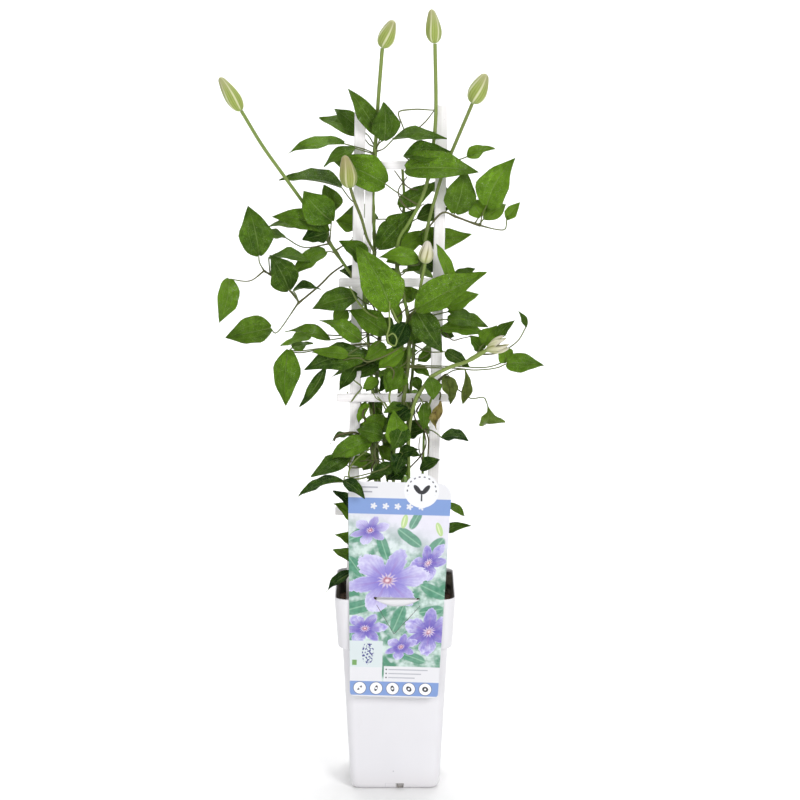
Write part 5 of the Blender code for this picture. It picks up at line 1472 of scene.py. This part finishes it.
def foot_cutters():
    """Four round drain holes in the floor and four notches in the foot of the walls."""
    circle = [Vector((math.cos(a), math.sin(a), 0)) * DRAIN_RADIUS * MM
              for a in (math.pi * step / 12 for step in range(24))]
    notch = [(NOTCH_LEFT, NOTCH_FRONT), (NOTCH_RIGHT, NOTCH_FRONT),
             (NOTCH_RIGHT, NOTCH_BACK), (NOTCH_LEFT, NOTCH_BACK)]
    cutters = []
    for quarter in range(4):
        turn = Matrix.Rotation(quarter * math.pi / 2, 3, "Z")
        centre = Matrix.Rotation(math.pi / 4, 3, "Z") @ turn @ Vector((DRAIN_PLACE * MM, 0, 0))
        cutters.append(cutter_of([[centre + p + Vector((0, 0, z * MM)) for p in circle]
                                  for z in DRAIN_SPAN]))
        cutters.append(cutter_of([[turn @ Vector((x, y, z)) * MM for x, y in notch]
                                  for z in NOTCH_SPAN]))
    return cutters


pot = pot_skin().piece("pot_shell", (POT_FINISH,), "pot", "pot", sharp=POT_SHARP)
cut_away(pot, foot_cutters())
print("pot with holes:", len(pot.data.polygons), "faces")

# %% [markdown]
# The soil has sunk below the rim and lies in crumbs. Its top is a set of rings that shrink to the
# middle, lifted by noise of two sizes, so it is rough but closed. Bits of bark are strewn over it.

# %% Soil
SOIL_BLOCK = ((45.9, 6.9, 9.6), (50.5, 8, 94), (55.9, 8.9, 168), (60.6, 11.9, 171))
SOIL_HALF, SOIL_CORNER = 62.6, 11.9
SOIL_RINGS = 34
SOIL_SHRINK = 0.985
SWELL_NOISE, SWELL_HEIGHT = 70, 2.2
CRUMB_NOISE, CRUMB_HEIGHT = 260, 1.6
BARK_BITS = 260
BARK_SPREAD = 58
BARK_SIZES = (0.8, 2.6)
BARK_STRETCH = 1.6
# Each row of a bit of bark is (height, width), in shares of the bit's size.
BARK_ROWS = ((-0.5, 0.5), (0.1, 1.0), (0.7, 0.6))
BARK_SIDES = 6


def soil_swell(point):
    """The large swells of the soil's top; the crumbs come on top of them."""
    return noise.noise(point * SWELL_NOISE) * SWELL_HEIGHT * MM


def grow_soil():
    """The block of soil, its top rough but calmer at the pot's wall."""
    skin = Skin()
    rows = stack(skin, SOIL_BLOCK, Look())
    for step in range(SOIL_RINGS):
        share = 1 - SOIL_SHRINK * step / (SOIL_RINGS - 1)
        ring = rounded_square(SOIL_HALF * MM * share, SOIL_CORNER * MM * share, SOIL_TOP)
        for point in ring:
            crumbs = noise.noise(point * CRUMB_NOISE) * CRUMB_HEIGHT * MM
            rough = soil_swell(point) + crumbs
            point.z += rough * (0.3 + 0.7 * (1 - ramp(share, 0.9, 1.0)))
        rows.append(skin.ring(ring, Look()))
    skin.close(rows)
    return skin


def strew_bark(skin, chance):
    """One bit of bark, long and lumpy, half sunk in the soil."""
    across, back = (chance.uniform(-BARK_SPREAD, BARK_SPREAD) for _ in range(2))
    spot = Vector((across, back, 0)) * MM
    size = chance.uniform(*BARK_SIZES) * MM
    spot.z = SOIL_TOP + soil_swell(Vector((spot.x, spot.y, SOIL_TOP)))
    turn = Matrix.Rotation(chance.uniform(0, 6.3), 3, "Z")
    rows = []
    for high, wide in BARK_ROWS:
        ring = []
        for side in range(BARK_SIDES):
            angle = 2 * math.pi * side / BARK_SIDES
            point = Vector((BARK_STRETCH * math.cos(angle), math.sin(angle), 0)) * wide * size
            point.z = high * size * chance.uniform(0.6, 1.2)
            ring.append(spot + turn @ point)
        rows.append(skin.ring(ring, Look()))
    skin.close(rows)


soil_chance = random.Random(5)
soil_skin = grow_soil()
for _ in range(BARK_BITS):
    strew_bark(soil_skin, soil_chance)
soil_skin.piece("soil_top", (SOIL_FINISH,), "soil", "soil", sharp=80)

# %% [markdown]
# The label card is a thin tapered sheet that hangs on the rim. A tongue cut from it goes down
# behind the pot's wall, and the rim shows through the slot that this leaves. Its print is drawn
# here by formulas: six-petalled flowers, pointed leaves, bands and plain signs. A flower is a
# disc whose edge swings in and out with the angle: at a petal's middle the angle's cosine is 1 or
# -1, which also tells the upper petals from the lower. One helper so draws every flower. Two dark
# lines below the slot are painted shadow along the cuts of the tongue.

# %% Card outline
CARD_THICKNESS = 0.5
CARD_FACE = 67.9
CARD_CENTRE = 1.8
CARD_TOP, CARD_FOOT = 357.5, 114.4
CARD_TOP_HALF, CARD_FOOT_HALF = 56, 48.4
CARD_TURN = math.radians(1.6)
CARD_CORNER, CARD_BIG_CORNER = 5, 14
BADGE_CENTRE = (25.6, 348.6)
BADGE_RADIUS = 19
SLOT_HALF, SLOT_TOP, SLOT_END, SLOT_BOTTOM = 25, 228, 226, 218
SHEET_SPAN = 400


def arc(centre, radius, start, end, steps):
    """Points along an arc, its angles in degrees."""
    angles = [math.radians(start + (end - start) * step / steps) for step in range(steps + 1)]
    return [(centre[0] + radius * math.cos(a), centre[1] + radius * math.sin(a)) for a in angles]


def card_outline():
    """The card's edge in millimetres, counter-clockwise from its lower left corner."""
    left, right = CARD_CENTRE - CARD_FOOT_HALF, CARD_CENTRE + CARD_FOOT_HALF
    top_left, top_right = CARD_CENTRE - CARD_TOP_HALF, CARD_CENTRE + CARD_TOP_HALF
    corner, big = CARD_CORNER, CARD_BIG_CORNER
    start = math.degrees(math.asin((CARD_TOP - BADGE_CENTRE[1]) / BADGE_RADIUS))
    points = arc((left + corner, CARD_FOOT + corner), corner, 180, 270, 8)
    points += arc((right - corner, CARD_FOOT + corner), corner, 270, 360, 8)
    points += arc((top_right - big, CARD_TOP - big), big, 0, 90, 12)
    points += arc(BADGE_CENTRE, BADGE_RADIUS, start + 2, 180 - start, 24)
    points += arc((top_left + corner, CARD_TOP - corner), corner, 90, 180, 8)
    return points


def slot_outline():
    """The slot: straight above, curved like a smile below."""
    points = [(CARD_CENTRE + SLOT_HALF, SLOT_TOP), (CARD_CENTRE - SLOT_HALF, SLOT_TOP)]
    for step in range(17):
        share = step / 8 - 1
        height = SLOT_BOTTOM + (SLOT_END - SLOT_BOTTOM) * share * share
        points.append((CARD_CENTRE + SLOT_HALF * share, height))
    return points


print("card outline:", len(card_outline()), "points")


# %% Shapes of the print
LEAF_BLUR, FLOWER_BLUR = 1.3, 0.35
CUT_SHADOW_ENDS, CUT_SHADOW_FOOT = ((-19.8, 219), (27.5, 219)), (0, 186.6)
CARD_SIDE = 70
CARD_WHITE, CARD_BLUE, CARD_INK = paint(228, 228, 232), paint(128, 156, 210), paint(44, 44, 48)


class Print(Finish):
    """A finish that draws flat shapes, in millimetres across and up the card."""

    def __init__(self, name):
        super().__init__(name, 0.3)
        self.spread = self.node("ShaderNodeUVMap", {"uv_map": "across_along"})
        values = {0: self.spread, 1: (SHEET_SPAN, SHEET_SPAN, 0), 2: (-SHEET_SPAN / 2, 0, 0)}
        self.sheet = self.node("ShaderNodeVectorMath", {"operation": "MULTIPLY_ADD"}, values)
        self.x, self.z, _ = self.parts(self.sheet)
        self.ground = None

    def within(self, distance, soft=0.25):
        """1 where a distance from an edge is negative."""
        settings = {"interpolation_type": "SMOOTHSTEP"}
        values = {0: distance, 1: -soft, 2: soft, 3: 1, 4: 0}
        return self.node("ShaderNodeMapRange", settings, values)

    def box(self, left, right, low, high, soft=0.25):
        """A rectangle."""
        wide = abs(self.x - (left + right) / 2) - (right - left) / 2
        tall = abs(self.z - (low + high) / 2) - (high - low) / 2
        return self.within(wide.maths("MAXIMUM", tall), soft)

    def moved(self, x, z, turn, squash=1.0):
        """The points of the card as seen from a place, turned; squash flattens circles."""
        values = {0: self.sheet, 1: (x, z, 0), 2: (0, 0, turn), 3: (1, squash, 1)}
        return self.node("ShaderNodeMapping", {"vector_type": "TEXTURE"}, values)

    def reach(self, x, z, turn=0.0, squash=1.0):
        """How far each point lies from a place, and at what angle."""
        local = self.moved(x, z, turn, squash)
        far = self.node("ShaderNodeVectorMath", {"operation": "LENGTH"}, {0: local}, 1)
        along, aside, _ = self.parts(local)
        return far, aside.maths("ARCTAN2", along)

    def disc(self, x, z, radius, turn=0.0, squash=1.0):
        """A circle or an ellipse."""
        return self.within(self.reach(x, z, turn, squash)[0] - radius)

    def lay(self, mask, colour):
        """Print a colour over what is there."""
        self.ground = self.mix(mask, self.ground, colour)

    def line(self, start, end, width):
        """A thin straight line between two places."""
        (x, z), (far_x, far_z) = start, end
        turn, length = math.atan2(far_z - z, far_x - x), math.hypot(far_x - x, far_z - z)
        along, aside, _ = self.parts(self.moved(x, z, turn))
        ends = abs(along - length / 2) - length / 2
        return self.within(ends.maths("MAXIMUM", abs(aside) - width / 2), 0.2)

    def leaf(self, x, z, length, turn, colour):
        """A pointed leaf, a little out of focus, with a paler midrib."""
        far, angle = self.reach(x, z, turn, 0.5)
        pinch = abs(angle.maths("COSINE")) * 0.25 + 0.8
        mask = self.within(far / pinch - length / 2, LEAF_BLUR)
        rib = 1 - (abs(angle.maths("SINE")) * far).fade(0.0, length * 0.08)
        self.lay(mask * 0.9, self.mix(rib * 0.5, colour, paint(176, 216, 186)))

    def flower(self, x, z, radius, turn, squash, deep, pale):
        """Three petals over three, pointed and veined, round a tuft of stamens."""
        far, angle = self.reach(x, z, turn, squash)
        share = far * (1 / radius)
        swing = (angle * 3).maths("COSINE")
        upper = swing.fade(-0.12, 0.12)
        off = abs(swing).maths("ARCCOSINE") * (2 / math.pi)
        wave = self.noise(self.sheet, 0.16)
        edge = 1.04 - off ** 1.35 * (0.58 - upper * 0.24) - abs(wave - 0.5) * 0.4
        mask = self.within((share - edge) * radius, FLOWER_BLUR)
        light = self.mix(wave.fade(0.3, 0.7), pale, paint(214, 212, 240))
        petal = self.mix(share.fade(0.1, 0.8) * (0.62 + upper * 0.38), deep, light)
        streak = (angle * 48 + wave * 5).maths("COSINE") * 0.5 + 0.5
        petal = self.mix(streak * 0.22 * (1 - share.fade(0.6, 1.0)), petal, deep)
        shade = (1 - abs(swing).fade(0.0, 0.3)) * (1 - upper * 0.6) * 0.6
        petal = self.mix(shade, petal, deep)
        bar = abs(swing).fade(0.965, 1.0) * (1 - share.fade(0.35, 0.85)) * 0.45
        petal = self.mix(bar, petal, paint(150, 112, 190))
        rim = (edge - share).fade(0.0, 0.1)
        self.lay(mask, self.mix((1 - rim) * 0.45, petal, paint(226, 226, 246)))
        rays = (angle * 13 + wave * 9).maths("COSINE") * 0.06 + 0.17
        self.lay(self.within(share - rays, 0.06), paint(212, 196, 216))
        self.lay(self.within(share - 0.1 - (wave - 0.5) * 0.2, 0.04), paint(168, 96, 120))
        self.lay(self.within(share - 0.05, 0.03), paint(240, 214, 222))


def print_garden(card, fine):
    """Blurred leaves below and a haze above, then sharp leaves and six flowers."""
    mottle = card.noise(card.sheet, 0.055)
    leafy = card.mix(mottle.fade(0.36, 0.66), paint(80, 142, 114), paint(212, 228, 224))
    card.ground = card.mix(fine.fade(0.5, 0.8) * 0.45, leafy, paint(50, 108, 88))
    bokeh = card.noise(card.sheet, 0.1, 1.0)
    card.lay(bokeh.fade(0.55, 0.74) * 0.6, paint(232, 242, 244))
    haze = (card.z + card.x * 0.35).fade(268, 322)
    card.lay(haze * 0.94, paint(230, 227, 240))
    for x, z, length, turn in (
            (-36, 300, 34, 0.5), (14, 296, 30, 2.5), (40, 282, 34, 0.9), (-44, 262, 26, 2.2),
            (42, 236, 30, 2.7), (-40, 216, 34, 0.3), (4, 204, 30, 1.2), (40, 214, 26, 0.2),
            (20, 316, 22, 1.1), (-14, 284, 28, 1.9), (-50, 176, 30, 1.2), (22, 160, 26, 2.8)):
        card.leaf(x, z, length, turn, card.mix(fine, paint(42, 102, 80), paint(106, 176, 144)))
    deep, dusk = paint(132, 120, 204), paint(100, 84, 180)
    pale, violet = paint(190, 181, 228), paint(152, 140, 214)
    for flower in (
            (-29, 303, 22, 0.3, 0.72, dusk, pale), (35, 268, 27, 0.9, 0.62, dusk, violet),
            (38, 190, 32, 0.55, 0.8, dusk, violet), (-32, 192, 25, 0.1, 0.7, dusk, violet),
            (-9, 247, 46, 0.2, 0.8, deep, pale), (8, 172, 19, 0.4, 0.75, dusk, violet)):
        card.flower(*flower)
    # Painted shadow: two broken dark lines along the cuts of the tongue, from the slot's ends down
    # to a point.
    for end in CUT_SHADOW_ENDS:
        card.lay(card.line(end, CUT_SHADOW_FOOT, 0.55) * fine.fade(0.3, 0.5), paint(70, 58, 60))
    for x, z, turn in ((8, 314, 1.35), (46, 306, 1.9)):
        card.lay(card.disc(x, z, 8, turn, 0.42), paint(188, 214, 150))
        card.lay(card.disc(x - 0.6, z, 6, turn, 0.12), paint(222, 234, 190))


def print_head(card):
    """A white band and a blue one with stars, and a badge with a sprout in a ring of dots."""
    card.lay(card.box(-CARD_SIDE, CARD_SIDE, 339.5, 370), CARD_WHITE)
    card.lay(card.box(-CARD_SIDE, CARD_SIDE, 321.5, 339.5), CARD_BLUE)
    for step in range(5):
        far, angle = card.reach(-26 + 13 * step, 330.5)
        star = abs((angle * 2.5).maths("COSINE")) * 2.2 + 1.6
        card.lay(card.within(far - star), CARD_WHITE)
    middle = BADGE_CENTRE[0]
    card.lay(card.disc(*BADGE_CENTRE, BADGE_RADIUS - 0.2), paint(238, 239, 243))
    far, angle = card.reach(*BADGE_CENTRE)
    ring = abs(far - (BADGE_RADIUS - 3.4))
    dots = (angle * 18).maths("COSINE").fade(0.1, 0.5)
    card.lay(card.within(ring - 0.7) * dots * card.z.fade(343, 347), paint(92, 92, 98))
    for side in (-1, 1):
        card.lay(card.disc(middle + 4.6 * side, 350, 6.2, 0.9 * side, 0.42), CARD_INK)
    card.lay(card.box(middle - 0.8, middle + 0.8, 337, 349), CARD_INK)
    for low, right in ((350.5, -22), (345.4, -28)):
        card.lay(card.box(-50, right, low, low + 1.6), paint(168, 168, 178))


def print_foot(card):
    """A small picture of a whole plant, a panel with bars, and a blue band with five signs."""
    card.lay(card.box(-CARD_SIDE, -12, 146, 166), CARD_WHITE)
    card.lay(card.box(-60, -12, 148, 178, 0.3), paint(214, 224, 226))
    tree = card.noise(card.spread, 160.0, 2.0).fade(0.5, 0.56)
    card.lay(card.disc(-28, 164, 13, 1.57, 0.5) * tree, paint(70, 72, 140))
    card.lay(card.box(-45, -40, 150, 156), paint(120, 164, 96))
    card.lay(card.box(-10, CARD_SIDE, 131.8, 149.5), CARD_WHITE)
    for index in range(3):
        low = 145.2 - 4.6 * index
        card.lay(card.box(-5, 38 - 7 * index, low, low + 1.2), paint(178, 178, 188))
        card.lay(card.disc(-7.4, low + 0.6, 0.9), paint(96, 96, 108))
    corner = card.box(-CARD_SIDE, CARD_SIDE, 129.8, 147.5) * card.box(-CARD_SIDE, -12, 100, 147.5)
    card.lay(corner, CARD_WHITE)
    low_edge = card.within(card.z - 131.8)
    card.lay(card.box(-CARD_SIDE, CARD_SIDE, 127, 143.5) * low_edge, CARD_BLUE)
    card.lay(card.box(-CARD_SIDE, CARD_SIDE, 114, 131.8), CARD_BLUE)
    for index in range(5):
        x = -36 + 18 * index
        card.lay(card.disc(x, 124, 7.2), CARD_INK)
        card.lay(card.disc(x, 124, 6.7), paint(248, 248, 252))
        sign = card.disc(x, 124, 3.4, 0.8 + 0.5 * index, 0.35 + 0.13 * index)
        card.lay(sign * (1 - card.disc(x, 124, 1.2)), CARD_INK)
    card.lay(card.box(-CARD_SIDE, CARD_SIDE, 100, 115.8), CARD_WHITE)


def card_print():
    """The front of the card."""
    card = Print("card_print")
    fine = card.noise(card.sheet, 0.2)
    print_garden(card, fine)
    print_head(card)
    print_foot(card)
    card.coat(base_color=card.ground, roughness=0.28 + fine * 0.12)
    card.bump(fine, 0.0001, 0.15)
    return card.made


CARD_FINISH = card_print()
print("print drawn with", len(CARD_FINISH.node_tree.nodes), "nodes")


# %% The card itself
# The tongue runs over the rim through these places, (back, up) in millimetres.
TONGUE_WAY = ((0, 233), (0, 230.4), (1.6, 227.8), (3.6, 227.0), (4.6, 225.2))
TONGUE_HALF, TONGUE_END, TONGUE_RISE, TONGUE_DEPTH = 22, 219, 4, 5
TONGUE_THICKNESS = (0.3, 0.25)
TONGUE_STEPS = 12
CARD_PIVOT = 225


def card_back():
    """White uncoated back and edges."""
    back = Finish("card_back", 0.6)
    cloud = back.noise(back.place(), 60.0)
    back.coat(base_color=back.mix(cloud, paint(236, 236, 240), paint(246, 246, 250)))
    return back.made


def card_sheet():
    """The sheet as a filled flat curve with a slot, stood upright."""
    sheet = bpy.data.curves.new("card_sheet", "CURVE")
    sheet.dimensions = "2D"
    sheet.fill_mode = "BOTH"
    sheet.extrude = CARD_THICKNESS / 2
    for outline in (card_outline(), slot_outline()):
        spline = sheet.splines.new("POLY")
        spline.points.add(len(outline) - 1)
        spline.use_cyclic_u = True
        for point, (x, z) in zip(spline.points, outline):
            point.co = (x, z, 0, 1)
    flat = placed("card_sheet", sheet)
    mesh = baked(flat)
    bpy.data.objects.remove(flat)
    return mesh


def grow_card():
    """The sheet and its tongue in one skin, in millimetres until they are hung."""
    skin = Skin()
    sheet = card_sheet()
    middle = -CARD_FACE + CARD_THICKNESS / 2
    points = [Vector((p.co.x, middle - p.co.z, p.co.y)) for p in sheet.vertices]
    spreads = [((p.x + SHEET_SPAN / 2) / SHEET_SPAN, p.z / SHEET_SPAN) for p in points]
    skin.ring(points, Look(), spreads)
    for face in sheet.polygons:
        skin.face(face.vertices, 0 if face.normal.z > 0.5 else 1)
    thick_y, thick_z = TONGUE_THICKNESS
    rows = []
    for column in range(TONGUE_STEPS + 1):
        share = 2 * column / TONGUE_STEPS - 1
        x = CARD_CENTRE + TONGUE_HALF * share
        end = TONGUE_END + TONGUE_RISE * share * share
        line = [(middle + y, z) for y, z in (*TONGUE_WAY, (TONGUE_DEPTH, end))]
        line += [(y + thick_y, z - thick_z) for y, z in reversed(line)]
        rows.append(skin.ring([Vector((x, y, z)) for y, z in line], Look()))
    skin.close(rows, 1)
    pivot = Matrix.Translation((0, 0, CARD_PIVOT))
    turn = Matrix.Scale(MM, 4) @ pivot @ Matrix.Rotation(CARD_TURN, 4, "Y") @ pivot.inverted()
    skin.points = [turn @ point for point in skin.points]
    return skin


grow_card().piece("label_sheet", (CARD_FINISH, card_back()), "card", "label_card", sharp=30)

# %% [markdown]
# The floor is one pale sheet that curves up behind the plant, so no horizon shows. Large soft
# lamps from both sides and above give the even light of a catalogue picture. The strongest lamp
# stands behind and lights only the sweep, which keeps the ground of the picture white.

# %% Floor and light
# Each point of the sweep's profile is (back, up), in metres.
SWEEP = ((-16.0, 0.0), (2.9, 0.0), (3.3, 0.05), (3.6, 0.25), (3.8, 0.6), (3.85, 1.2), (3.85, 2.4))
SWEEP_HALF = 16
FLOOR_DROP = 0.0002
PLANT_AIM, SWEEP_AIM = (0, 0, 0.45), (0, 3.6, 0.4)
# A lamp has a place, a width in metres, a power in watts, and a point that it looks at.
LAMPS = (
    ("key_lamp", (1.4, -2.5, 1.9), 1.1, 48, PLANT_AIM),
    ("fill_lamp", (-1.4, -2.6, 1.2), 1.8, 23, PLANT_AIM),
    ("top_lamp", (0.2, 0.2, 2.6), 1.4, 12, PLANT_AIM),
    ("back_lamp", (0.0, 1.6, 3.0), 2.5, 110, SWEEP_AIM),
)
ROOM_LIGHT = 0.3


def studio():
    """A pale floor that sweeps up behind."""
    points = [(side, y, z - FLOOR_DROP) for y, z in SWEEP for side in (-SWEEP_HALF, SWEEP_HALF)]
    faces = [(low, low + 1, low + 3, low + 2) for low in range(0, len(points) - 2, 2)]
    mesh = bpy.data.meshes.new("studio_floor")
    mesh.from_pydata(points, [], faces)
    mesh.shade_smooth()
    paper = Finish("studio_paper", 0.9)
    cloud = paper.noise(paper.place(), 3.0, 2.0)
    paper.coat(base_color=paper.mix(cloud, paint(250, 250, 250), paint(253, 253, 253)))
    mesh.materials.append(paper.made)
    placed("studio_floor", mesh)


def aimed(made, place, way):
    """Stand a lamp or a camera at a place and turn it to look along a way."""
    made.location = place
    made.rotation_euler = way.to_track_quat("-Z", "Y").to_euler()


studio()
for name, place, size, power, aim in LAMPS:
    light = bpy.data.lights.new(name, "AREA")
    light.size = size
    light.energy = power
    aimed(placed(name, light), place, Vector(aim) - Vector(place))
world = bpy.data.worlds.new("white_room")
world.use_nodes = True
room = world.node_tree.nodes["Background"].inputs
room["Color"].default_value = (1, 1, 1, 1)
room["Strength"].default_value = ROOM_LIGHT
bpy.context.scene.world = world
print("lamps:", len(LAMPS))

# %% [markdown]
# The camera stands at the eye that the plant was read through. Its lens frames the whole plant
# in a square picture.

# %% Camera
SENSOR = 36.0
VIEW_ANGLE = math.radians(16.97)
camera = bpy.data.cameras.new("camera")
camera.sensor_width = SENSOR
camera.lens = SENSOR / 2 / math.tan(VIEW_ANGLE / 2)
camera_object = placed("camera", camera)
aimed(camera_object, EYE, FORWARD)
bpy.context.scene.camera = camera_object
bpy.context.scene.view_settings.view_transform = "Standard"
print("lens:", round(camera.lens, 1), "mm")
